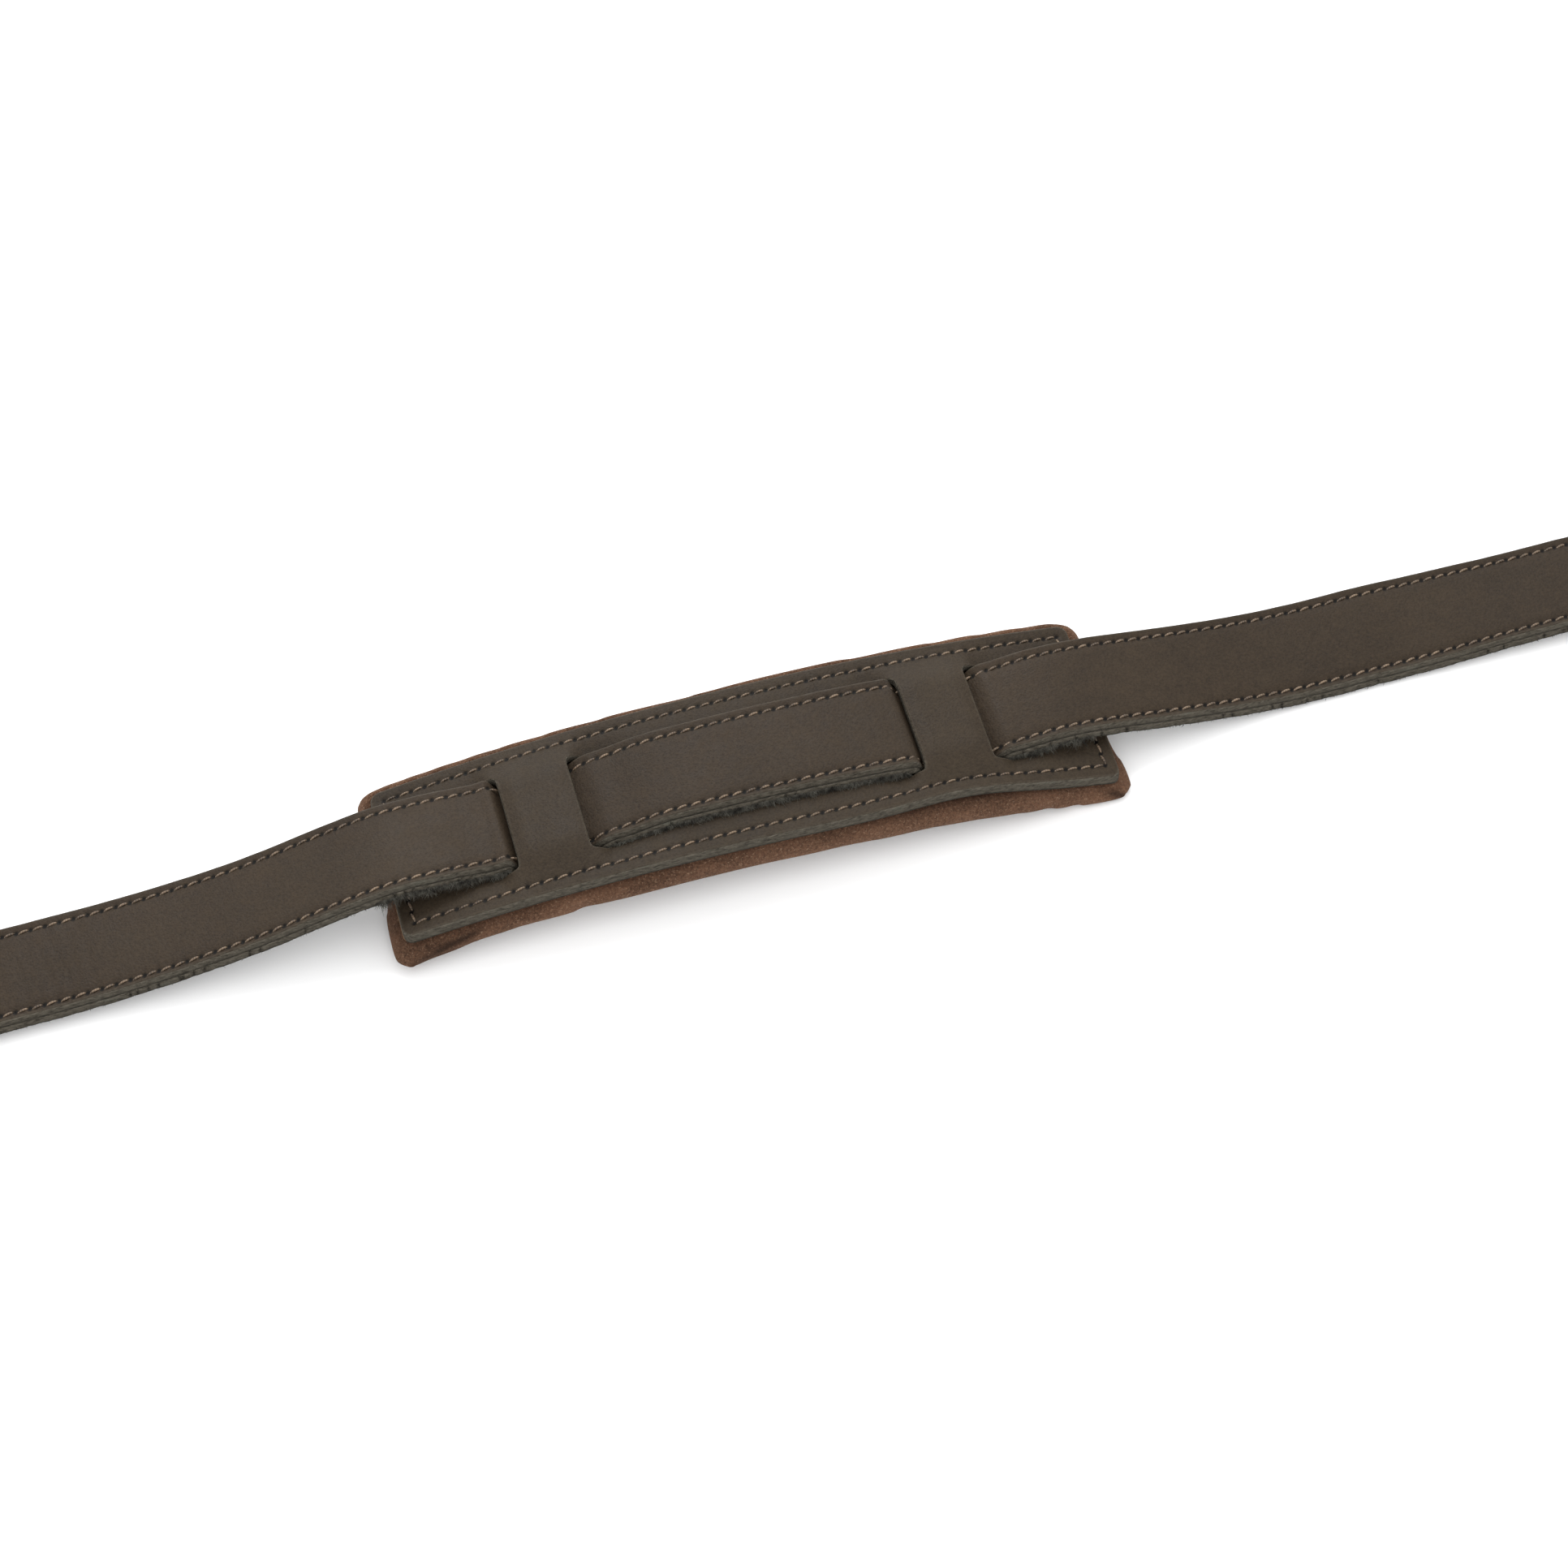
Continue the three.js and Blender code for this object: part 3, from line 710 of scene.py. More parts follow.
        for side, bulge, waves, seat, end in (
            (-1, self.bulges[0], self.left_waves, self.tab_right + self.seat_run, self.strap_left),
            (1, self.bulges[1], self.right_waves, self.tail_left - self.seat_run,
             self.strap_right),
        ):
            pad_end = side * self.pad_half
            start = float(self.arch(np.array(self.outer_slot))) + pressed[side > 0]
            first = (side * self.outer_slot, start)
            middle = (side * (self.outer_slot + self.pad_half) / 2, bulge * layers.leather_top)
            points = [first, middle]
            points += [
                (pad_end + share * (seat - pad_end), rise * layers.leather_top)
                for share, rise in waves
            ]
            points += [(seat, layers.end_seat), (end, layers.end_seat)]
            runs.append(through_points(sorted(points), x))
        outer = np.where(x < 0, runs[0], runs[1])
        height = np.where(np.abs(x) <= self.outer_slot, woven, outer)
        return height + self.roll(x) * y

    def strap_shift(self, x: np.ndarray) -> np.ndarray:
        """The strap's middle line leans with the pad between the outer slots, then comes back."""
        held = np.clip(x, -self.outer_slot, self.outer_slot)
        return self.lean * held * (1 - smooth(self.outer_slot, 190, np.abs(x)))

    def warp_strap(self, points: np.ndarray) -> np.ndarray:
        """Moves the strap's points across by its middle line and a slight hand-cut wander.

        Args:
            points: places in millimetres.

        Returns:
            The moved points.
        """
        x = points[:, 0]
        wander = 0.22 * drift(x, 5, 170) + 0.05 * drift(x, 9, 23)
        free = smooth(self.outer_slot, self.outer_slot + 40, np.abs(x))
        ends = smooth(self.strap_left, self.tab_right + 30, x)
        ends = ends * (1 - smooth(self.tail_left - 30, self.strap_right, x))
        moved = points.copy()
        moved[:, 1] += self.strap_shift(x) + wander * (0.25 + 0.75 * free) * ends
        return moved

    def warp_leather(self, points: np.ndarray) -> np.ndarray:
        """Draws the near edge in where it curls, then turns the points with the pad."""
        moved = points.copy()
        moved[:, 1] += self.curl_in * self.curl(points[:, 0], points[:, 1])
        return self.warp_pad(moved)

    def warp_pad(self, points: np.ndarray) -> np.ndarray:
        """Turns the pad's points by its lean round the upright axis.

        Args:
            points: places in millimetres.

        Returns:
            The turned points.
        """
        moved = points.copy()
        cos, sin = math.cos(self.lean), math.sin(self.lean)
        moved[:, 0] = points[:, 0] * cos - points[:, 1] * sin
        moved[:, 1] = points[:, 0] * sin + points[:, 1] * cos
        return moved

    def padding_rise(self, x: np.ndarray, y: np.ndarray) -> np.ndarray:
        """Arch and twist less the dip that the strap presses into lining and foam.

        Args:
            x: places along.
            y: places across.

        Returns:
            Height over the pad's flat layers.
        """
        run, lead = np.abs(x), self.press_run / 2
        inner = smooth(self.inner_slot - self.sunk_run - lead, self.inner_slot - 2 * lead, run)
        outer = smooth(self.outer_slot + lead, self.press_end + lead, run)
        across = 1 - smooth(self.pad_width / 2 - 8, self.pad_width / 2, np.abs(y))
        dip = self.sunk * (inner - outer) * across
        return self.arch(x) + self.roll(x) * y - dip + self.curl_up * self.curl(x, y)


# ------------------------------------------------------------------ finishes


def linear(code: str) -> tuple[float, float, float, float]:
    """An sRGB hex colour as linear red, green, blue and a full alpha."""
    parts = [int(code[i:i + 2], 16) / 255 for i in (1, 3, 5)]
    lit = [c / 12.92 if c <= 0.04045 else ((c + 0.055) / 1.055) ** 2.4 for c in parts]
    return (*lit, 1.0)


def per_mm(size: float) -> float:
    """Texture scale, in repeats a metre, that gives features of this size in millimetres."""
    return 1.0 / (size * MM)


RANGE, MATH, BUMP = "ShaderNodeMapRange", "ShaderNodeMath", "ShaderNodeBump"
MIX, MARK = "ShaderNodeMix", "ShaderNodeAttribute"
SHADER, OUTPUT = "ShaderNodeBsdfPrincipled", "ShaderNodeOutputMaterial"
COLOURS = {"out": 2, "data_type": "RGBA"}


def add(
    tree: bpy.types.NodeTree, kind: str, inputs: dict | None = None, out: int | str = 0,
    **settings: object,
) -> bpy.types.NodeSocket | None:
    """Adds a node with its settings, values and links.

    Args:
        tree: the material's nodes.
        kind: the node's type.
        inputs: value or linked socket for each input, by name or number.
        out: which of its outputs is wanted.
        **settings: the node's own properties.

    Returns:
        That output, or nothing where the node has none.
    """
    made = tree.nodes.new(kind)
    for key, value in settings.items():
        setattr(made, key, value)
    for key, value in (inputs or {}).items():
        if isinstance(value, bpy.types.NodeSocket):
            tree.links.new(value, made.inputs[key])
        else:
            made.inputs[key].default_value = value
    return made.outputs[out] if made.outputs else None


def blank(name: str) -> tuple[bpy.types.Material, bpy.types.NodeTree, bpy.types.NodeSocket]:
    """A new material, its cleared nodes and its object coordinates."""
    material = bpy.data.materials.new(name)
    material.use_nodes = True
    material.node_tree.nodes.clear()
    return material, material.node_tree, add(material.node_tree, "ShaderNodeTexCoord", out="Object")


def patches(
    tree: bpy.types.NodeTree, place: bpy.types.NodeSocket, size: float, low: float, high: float,
    detail: float = 3.0, stretch: tuple[float, float, float] = (1, 1, 1), rough: float = 0.5,
    most: float = 1.0,
) -> bpy.types.NodeSocket:
    """Patches of a size in millimetres: noise whose low..high becomes 0..most.

    Args:
        tree: the material's nodes.
        place: its object coordinates.
        size: size of a patch in millimetres.
        low: noise that gives 0.
        high: noise that gives the most.
        detail: finer noise within it.
        stretch: how much the pattern is squeezed on each axis.
        rough: weight of the finer noise.
        most: value of the strongest patch.

    Returns:
        The pattern.
    """
    moved = add(tree, "ShaderNodeMapping", {"Vector": place, "Scale": stretch})
    noise = add(tree, "ShaderNodeTexNoise", {
        "Vector": moved, "Scale": per_mm(size), "Detail": detail, "Roughness": rough,
    })
    return add(tree, RANGE, {"Value": noise, "From Min": low, "From Max": high, "To Max": most})


def weighted(
    tree: bpy.types.NodeTree, *parts: tuple[bpy.types.NodeSocket, float], plus: float = 0.0,
) -> bpy.types.NodeSocket:
    """Sum of values, each times its weight, plus a constant."""
    total = plus
    for value, weight in parts:
        total = add(tree, MATH, {0: value, 1: weight, 2: total}, operation="MULTIPLY_ADD")
    return total


@dataclass(frozen=True)
class Leather:
    """Drum-dyed, oiled full-grain cowhide with a raw cut edge: a dull, fine-grained brown-grey
    face with a soft wax sheen, and a grey-green fibrous edge."""

    name: str
    dark: str = "#17110b"
    light: str = "#382e23"
    edge_dark: str = "#29251e"
    edge_light: str = "#6b655a"
    flesh: str = "#23211c"
    worn: str = "#64645a"
    # Near-black painted shade for the inside of the needle holes.
    hole_shade: str = "#060504"
    roughness: float = 0.58
    grain: float = 0.13

    def material(self) -> bpy.types.Material:
        """Cloudy dye, fine pores and creases on the face; stretched fibres on the cut edge; painted
        shade in the needle holes and a painted highlight along the rim.

        Returns:
            The material.
        """
        material, tree, place = blank(self.name)
        # Cloudy uptake of the dye over a few centimetres, and mottling over a few millimetres.
        cloud = patches(tree, place, 46, 0.3, 0.7)
        mottle = patches(tree, place, 6, 0.3, 0.7, detail=4, rough=0.62)
        # Real pores are about 0.3 mm apart; they are drawn at 0.8 mm so that they show.
        cells = add(tree, "ShaderNodeTexVoronoi", {
            "Vector": place, "Scale": per_mm(0.8), "Randomness": 0.95,
        })
        pore = add(tree, RANGE, {"Value": cells, "From Min": 0.05, "From Max": 0.6})
        fine = patches(tree, place, 1.1, 0.28, 0.72, rough=0.7)
        tone = weighted(tree, (cloud, 0.2), (mottle, 0.2), (fine, 0.4), (pore, 0.2))
        face = add(tree, MIX, {0: tone, 6: linear(self.dark), 7: linear(self.light)}, **COLOURS)
        # Fibres and pale scuffs of the cut edge, drawn out along it.
        fibre = patches(tree, place, 0.9, 0.3, 0.72, 4, (0.35, 1.0, 1.6), 0.7)
        scuff = patches(tree, place, 5, 0.6, 0.72, 3, (0.3, 1.0, 2.0), 0.6, 0.6)
        ends = {6: linear(self.edge_dark), 7: linear(self.edge_light)}
        cut = add(tree, MIX, {0: fibre, **ends}, **COLOURS)
        cut = add(tree, MIX, {0: scuff, 6: cut, 7: linear(self.worn)}, **COLOURS)
        marks = {
            key: add(tree, MARK, out="Fac", attribute_name=key)
            for key in ("wall", "inset", "under", "hole_shade")
        }
        wall = add(tree, RANGE, {"Value": marks["wall"], "From Min": 0.12, "From Max": 0.62})
        colour = add(tree, MIX, {0: wall, 6: face, 7: cut}, **COLOURS)
        # Painted highlight: the rim where face turns to cut edge is made a little paler in patches.
        rim = add(tree, RANGE, {
            "Value": marks["inset"], "From Min": 0.9, "From Max": 0.1, "To Max": 0.3,
        })
        rim_highlight = add(tree, MATH, {0: rim, 1: fibre}, operation="MULTIPLY")
        colour = add(tree, MIX, {0: rim_highlight, 6: colour, 7: linear(self.edge_light)}, **COLOURS)
        under = add(tree, MATH, {0: marks["under"], 1: 0.85}, operation="MULTIPLY")
        ends = {6: linear(self.flesh), 7: linear(self.edge_dark)}
        flesh = add(tree, MIX, {0: fibre, **ends}, **COLOURS)
        colour = add(tree, MIX, {0: under, 6: colour, 7: flesh}, **COLOURS)
        # Painted shade: the needle holes are darkened almost to black.
        hole = add(tree, RANGE, {
            "Value": marks["hole_shade"], "From Min": 0.12, "From Max": 0.5, "To Max": 0.95,
        })
        colour = add(tree, MIX, {0: hole, 6: colour, 7: linear(self.hole_shade)}, **COLOURS)

        rough = weighted(tree, (mottle, 0.12), (wall, 0.3), plus=self.roughness - 0.06)
        shaggy = add(tree, MATH, {0: fibre, 1: wall}, operation="MULTIPLY")
        normal = None
        for height, depth in (
            (patches(tree, place, 2.6, 0.0, 1.0, 4, (1.5, 0.7, 1.0), 0.6), 0.12),
            (weighted(tree, (pore, 0.45), (fine, 0.55)), self.grain), (shaggy, 0.5),
        ):
            below = {} if normal is None else {"Normal": normal}
            normal = add(tree, BUMP, {"Height": height, "Distance": depth * MM, **below})
        shader = add(tree, SHADER, {
            "Base Color": colour, "Roughness": rough, "Normal": normal,
            "Specular IOR Level": 0.12,
        })
        add(tree, OUTPUT, {"Surface": shader})
        return material


@dataclass(frozen=True)
class Suede:
    """Brushed split-leather suede: a deep brown nap with no gloss, whose pile lies in paler and
    darker patches and catches light at its edges."""

    name: str = "suede_brushed_split_leather"
    dark: str = "#2a1c13"
    light: str = "#6b4e3c"
    pale: str = "#9a7f69"
    fold_shade: str = "#1c120c"
    # Near-black painted shade for the gathers.
    sheen: str = "#b08e78"

    def material(self) -> bpy.types.Material:
        """Patches of pile direction under a fine speckle of nap, with painted shade in the gathers.

        Returns:
            The material.
        """
        material, tree, place = blank(self.name)
        patch = patches(tree, place, 11, 0.32, 0.68, stretch=(0.5, 1.2, 1.0))
        # The nap is finer than 0.1 mm; it is drawn at 0.9 mm so that it shows.
        nap = patches(tree, place, 0.9, 0.34, 0.66, detail=4, rough=0.78)
        tone = weighted(tree, (patch, 0.36), (nap, 0.64))
        colour = add(tree, MIX, {0: tone, 6: linear(self.dark), 7: linear(self.light)}, **COLOURS)
        fleck = patches(tree, place, 0.8, 0.56, 0.7, rough=0.8, most=0.6)
        colour = add(tree, MIX, {0: fleck, 6: colour, 7: linear(self.pale)}, **COLOURS)
        # Painted shade: the gathers at the near corners are darkened towards the fold colour.
        gather_shade = add(tree, MARK, out="Fac", attribute_name="gather_shade")
        gather_shade = add(tree, MATH, {0: gather_shade, 1: 0.9}, operation="MULTIPLY")
        colour = add(tree, MIX, {0: gather_shade, 6: colour, 7: linear(self.fold_shade)}, **COLOURS)
        swell = patches(tree, place, 4, 0.0, 1.0)
        normal = add(tree, BUMP, {"Height": swell, "Distance": 0.25 * MM})
        normal = add(tree, BUMP, {"Height": nap, "Distance": 0.26 * MM, "Normal": normal})
        shader = add(tree, SHADER, {
            "Base Color": colour, "Roughness": 0.95, "Normal": normal,
            "Specular IOR Level": 0.12, "Sheen Weight": 0.28, "Sheen Roughness": 0.45,
            "Sheen Tint": linear(self.sheen),
        })
        add(tree, OUTPUT, {"Surface": shader})
        return material


@dataclass(frozen=True)
class Felted:
    """Buffed split-leather lining: a thin tan-brown layer that shows only as a line at the
    pad's edge."""

    name: str = "split_leather_lining"
    dark: str = "#5d4431"
    light: str = "#8f7458"

    def material(self) -> bpy.types.Material:
        """Fibres along the layer.

        Returns:
            The material.
        """
        material, tree, place = blank(self.name)
        fibre = patches(tree, place, 1.0, 0.3, 0.7, 4, (0.4, 1.0, 1.0), 0.7)
        colour = add(tree, MIX, {0: fibre, 6: linear(self.dark), 7: linear(self.light)}, **COLOURS)
        shader = add(tree, SHADER, {
            "Base Color": colour, "Roughness": 0.92, "Specular IOR Level": 0.2,
            "Normal": add(tree, BUMP, {"Height": fibre, "Distance": 0.15 * MM}),
        })
        add(tree, OUTPUT, {"Surface": shader})
        return material


@dataclass(frozen=True)
class Thread:
    """Waxed bonded-nylon thread, laid of two strands: brown, with a slight wax gloss."""

    name: str
    dark: str = "#2e251e"
    light: str = "#786552"
    turns: float = 4.0

    def material(self) -> bpy.types.Material:
        """Slanting strands along each stitch, and stitches that differ a little.

        Returns:
            The material.
        """
        material, tree, place = blank(self.name)
        along = add(tree, MARK, out="Fac", attribute_name="twist")
        angle = add(tree, MATH, {0: along, 1: self.turns * 2 * math.pi}, operation="MULTIPLY")
        wave = add(tree, MATH, {0: angle}, operation="SINE")
        strand = add(tree, RANGE, {"Value": wave, "From Min": -1.0, "From Max": 1.0})
        tone = weighted(tree, (strand, 0.4), (patches(tree, place, 4, 0.35, 0.65, 2), 0.6))
        colour = add(tree, MIX, {0: tone, 6: linear(self.dark), 7: linear(self.light)}, **COLOURS)
        shader = add(tree, SHADER, {
            "Base Color": colour, "Roughness": 0.58, "Specular IOR Level": 0.4,
            "Normal": add(tree, BUMP, {"Height": strand, "Distance": 0.12 * MM}),
        })
        add(tree, OUTPUT, {"Surface": shader})
        return material


@dataclass(frozen=True)
class Nickel:
    """Nickel-plated turned brass: warm grey metal with fine turning marks and dulled spots."""

    name: str = "nickel_plated_brass"
    bright: str = "#b9b2a6"
    dull: str = "#7d7466"

    def material(self) -> bpy.types.Material:
        """Gloss that varies over the head, with faint marks.

        Returns:
            The material.
        """
        material, tree, place = blank(self.name)
        marks = patches(tree, place, 0.5, 0.0, 1.0, 3, (1.0, 6.0, 1.0))
        spots = weighted(tree, (patches(tree, place, 2.2, 0.4, 0.7), 0.22), plus=0.2)
        tarnish = patches(tree, place, 3.1, 0.5, 0.75, most=0.5)
        ends = {6: linear(self.bright), 7: linear(self.dull)}
        shader = add(tree, SHADER, {
            "Base Color": add(tree, MIX, {0: tarnish, **ends}, **COLOURS), "Metallic": 1.0,
            "Roughness": spots, "Normal": add(tree, BUMP, {"Height": marks, "Distance": 0.01 * MM}),
        })
        add(tree, OUTPUT, {"Surface": shader})
        return material


@dataclass(frozen=True)
class Fibre:
    """Loose fibres of the leather's flesh side: dull grey-green hairs."""

    name: str = "loose_leather_fibres"
    dark: str = "#1c1a17"
    light: str = "#56544d"

    def material(self) -> bpy.types.Material:
        """Tufts of paler and darker hairs.

        Returns:
            The material.
        """
        material, tree, place = blank(self.name)
        tuft = patches(tree, place, 2.4, 0.32, 0.68)
        colour = add(tree, MIX, {0: tuft, 6: linear(self.dark), 7: linear(self.light)}, **COLOURS)
        shader = add(tree, SHADER, {
            "Base Color": colour, "Roughness": 0.95, "Specular IOR Level": 0.15,
        })
        add(tree, OUTPUT, {"Surface": shader})
        return material


@dataclass(frozen=True)
class Table:
    """Matt white table, very slightly uneven in tone."""

    name: str = "white_matt_table"
    dark: str = "#f4f4f4"
    light: str = "#f7f7f7"

    def material(self) -> bpy.types.Material:
        """Wide faint patches.

        Returns:
            The material.
        """
        material, tree, place = blank(self.name)
        patch = patches(tree, place, 300, 0.3, 0.7, 2)
        colour = add(tree, MIX, {0: patch, 6: linear(self.dark), 7: linear(self.light)}, **COLOURS)
        shader = add(tree, SHADER, {
            "Base Color": colour, "Roughness": 0.9, "Specular IOR Level": 0.1,
        })
        add(tree, OUTPUT, {"Surface": shader})
        return material


# ------------------------------------------------------------------ the shoulder pad


@dataclass
class ShoulderPad:
    """The pad: top leather with its four slots, lining, stuffed suede cover and stitch rows."""

    lay: Lay
    corner: float = 3.4
    suede_corner: float = 3.8
    slot_corner: float = 2.5
    stitch_inset: float = 4.6
    stitch_pitch: float = 5.05
    suede_margin: float = 4.2
    voxel: float = 2.1
    puff_cap: float = 5.0
    thinnest: float = 5.2
    far_swell: float = 4.0
    gather_depth: float = 0.9
    pressure: float = 4.0
    stiffness: float = 18.0
    steps: int = 20
    made: list[bpy.types.Object] = field(default_factory=list)

    @property
    def row_y(self) -> float:
        """Pad middle to a long stitch row."""
        return self.lay.pad_width / 2 - self.stitch_inset

    @property
    def row_x(self) -> float:
        """Pad middle to an end stitch row."""
        return self.lay.pad_half - self.stitch_inset

    def outline(
        self, x: np.ndarray, y: np.ndarray, grow: float = 0.0, radius: float | None = None,
    ) -> np.ndarray:
        """Distance to the pad's rounded outline, grown by some millimetres."""
        half, width = self.lay.pad_half + grow, self.lay.pad_width / 2 + grow
        radius = self.corner + grow if radius is None else radius
        return rounded_box(x, y, -half, half, width, radius, radius)

    def cut_outline(self, x: np.ndarray, y: np.ndarray) -> np.ndarray:
        """The outline with the four slots taken out.

        Args:
            x: places along.
            y: places across.

        Returns:
            Distance to the cut outline, below zero on leather.
        """
        away = self.outline(x, y)
        for side in (-1, 1):
            for near in (self.lay.inner_slot, self.lay.bridge_end):
                left = min(side * near, side * (near + self.lay.slot_width))
                slot = rounded_box(
                    x, y, left, left + self.lay.slot_width, self.lay.slot_half,
                    self.slot_corner, self.slot_corner,
                )
                away = np.maximum(away, -slot)
        return away

    def hole_depth(self, x: np.ndarray, y: np.ndarray) -> np.ndarray:
        """1 in the middle of a needle hole, falling as a bell of the needle's radius.

        Args:
            x: places along.
            y: places across.

        Returns:
            Depth from 0 to 1.
        """
        steps = round(2 * self.row_x / self.stitch_pitch)
        pitch = 2 * self.row_x / steps
        off_x = (x + self.row_x) / pitch
        off_x = (off_x - np.round(off_x)) * pitch
        long_row = np.hypot(off_x, np.abs(y) - self.row_y)
        steps_y = round(2 * self.row_y / self.stitch_pitch)
        pitch_y = 2 * self.row_y / steps_y
        off_y = (y + self.row_y) / pitch_y
        off_y = (off_y - np.round(off_y)) * pitch_y
        end_row = np.hypot(off_y, np.abs(x) - self.row_x)
        inside = (np.abs(x) < self.row_x + 1.5) & (np.abs(y) < self.row_y + 1.5)
        return np.where(inside, bump(0, NEEDLE, np.minimum(long_row, end_row)), 0)

    def leather_top(self, x: np.ndarray, y: np.ndarray) -> np.ndarray:
        """The leather's face: rise, less a groove along the stitches and the needle holes.

        Args:
            x: places along.
            y: places across.

        Returns:
            The height of the face.
        """
        groove = bump(self.row_y, 1.3, np.abs(y)) * (np.abs(x) < self.row_x + 1)
        ends = bump(self.row_x, 1.3, np.abs(x)) * (np.abs(y) < self.row_y + 1)
        height = self.lay.layers.leather_top + self.lay.leather_rise(x, y)
        wander = 0.25 * drift(x, 21, 90) * drift(y, 22, 60)
        return height + wander - 0.22 * np.maximum(groove, ends) - 0.75 * self.hole_depth(x, y)

    def grid(self) -> tuple[np.ndarray, np.ndarray]:
        """Grid lines of the leather: a quarter pitch apart, closer at slots, edges and rows.

        Returns:
            Lines along and lines across.
        """
        lay = self.lay
        near = np.array([-1.0, -0.45, -0.12, 0, 0.12, 0.45, 1.0])
        marks = [lay.inner_slot, lay.bridge_start, lay.bridge_end, lay.outer_slot]
        ends = lay.pad_half - np.array([0, 0.08, 0.3, 0.7, 1.3, 2.4, 3.4])
        steps = 4 * round(2 * self.row_x / self.stitch_pitch)
        xs = places(
            np.linspace(-self.row_x, self.row_x, steps + 1),
            *[side * mark + near for side in (-1, 1) for mark in marks], ends, -ends,
        )
        sides = lay.pad_width / 2 - np.array([0, 0.08, 0.3, 0.7, 1.3, 2.4])
        rows = self.row_y + np.array([-1.3, -0.65, 0, 0.65, 1.3])
        slot = lay.slot_half + near
        steps_y = 3 * round(2 * self.row_y / self.stitch_pitch)
        ys = places(
            np.linspace(-self.row_y, self.row_y, steps_y + 1),
            sides, -sides, rows, -rows, slot, -slot,
        )
        return xs, ys

    def build_leather(self, finish: bpy.types.Material) -> bpy.types.Object:
        """Top leather with four slots; its face is leather_top and its back one thickness down.

        Args:
            finish: its material.

        Returns:
            The piece.
        """
        xs, ys = self.grid()
        thickness = self.lay.layers.leather
        slab = Slab(
            xs, ys, self.cut_outline, self.leather_top,
            lambda x, y: self.lay.layers.leather_bottom + self.lay.leather_rise(x, y),
            rim=0.5, foot=0.3, bulge=0.2, splay=0.9, rows=4, hole_shade=self.hole_depth,
        )
        piece = slab.surface(self.lay.warp_leather).to_object("pad_top_leather_cut", finish)
        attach(piece, Body.PAD.value)
        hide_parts("pad_top_leather")
        LOG.info("%s: %.1f mm leather with %d slots", piece.name, thickness, 4)
        return piece

    def build_lining(self, finish: bpy.types.Material) -> bpy.types.Object:
        """Lining between leather and foam, flush with the leather's outline.

        Args:
            finish: its material.

        Returns:
            The piece.
        """
        half, width = self.lay.pad_half, self.lay.pad_width / 2
        low = self.lay.layers.lining_bottom

        def cut(x: np.ndarray, y: np.ndarray) -> np.ndarray:
            """The pad's outline, a little proud on the far side."""
            return self.outline(x, y - 0.25, 0.15)

        slab = Slab(
            spaced(-half - 0.15, half + 0.15, 2.4),
            places(spaced(-width + 0.1, width + 0.4, 2.0)), cut,
            lambda x, y: low + self.lay.layers.lining + 0.2 + self.lay.padding_rise(x, y),
            lambda x, y: low + self.lay.padding_rise(x, y),
            rim=0.2, foot=0.2, bulge=0.15, rows=2,
        )
        piece = slab.surface(self.lay.warp_leather).to_object("pad_lining_layer", finish)
        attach(piece, Body.PAD.value)
        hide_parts("pad_lining")
        return piece

    def cushion_top(self, x: np.ndarray, y: np.ndarray) -> np.ndarray:
        """Under the lining, sloping down outwards where the suede stands out past it, and never
        thinner than the two rolled edges together.

        Args:
            x: places along.
            y: places across.

        Returns:
            The height before it swells.
        """
        out = np.maximum(self.outline(x, y), 0)
        height = self.lay.layers.lining_bottom - 0.25 + self.lay.padding_rise(x, y)
        near = smooth(10, -20, y)
        top = height + self.far_roll(out, y) - near * (0.3 * out + 0.015 * out**2)
        return np.maximum(top, self.cushion_bottom(x, y) + self.thinnest)

    def far_roll(self, out: np.ndarray, y: np.ndarray) -> np.ndarray:
        """How far the suede swells up beside the leather on the far side.

        Args:
            out: distance past the leather.
            y: places across.

        Returns:
            The extra height.
        """
        return (
            self.far_swell * smooth(0.2, 1.8, out) * (1 - smooth(4.5, 7.5, out)) * smooth(8, 26, y)
        )

    def cushion_bottom(self, x: np.ndarray, y: np.ndarray) -> np.ndarray:
        """The arch with its twist, pressed flat where a corner would go under the table."""
        free = self.lay.arch(x) + self.lay.roll(x) * y
        return 0.5 * (free + np.sqrt(free**2 + 0.8)) - 0.25

    def cushion_outline(self, x: np.ndarray, y: np.ndarray) -> np.ndarray:
        """The suede's outline: past the leather all round, and most on the near side.

        Args:
            x: places along.
            y: places across.

        Returns:
            Distance to the outline.
        """
        corner = 1.6 * smooth(-95, -131, x) + 0.6 * smooth(105, 131, x)
        near = (1.2 + corner) * smooth(-8, -24, y)
        pull = 0.3 * drift(x, 41, 120) * smooth(20, 30, np.abs(y))
        far = 1.9 * smooth(8, 26, y)
        return self.outline(x, y, self.suede_margin, self.suede_corner) - near - far - pull

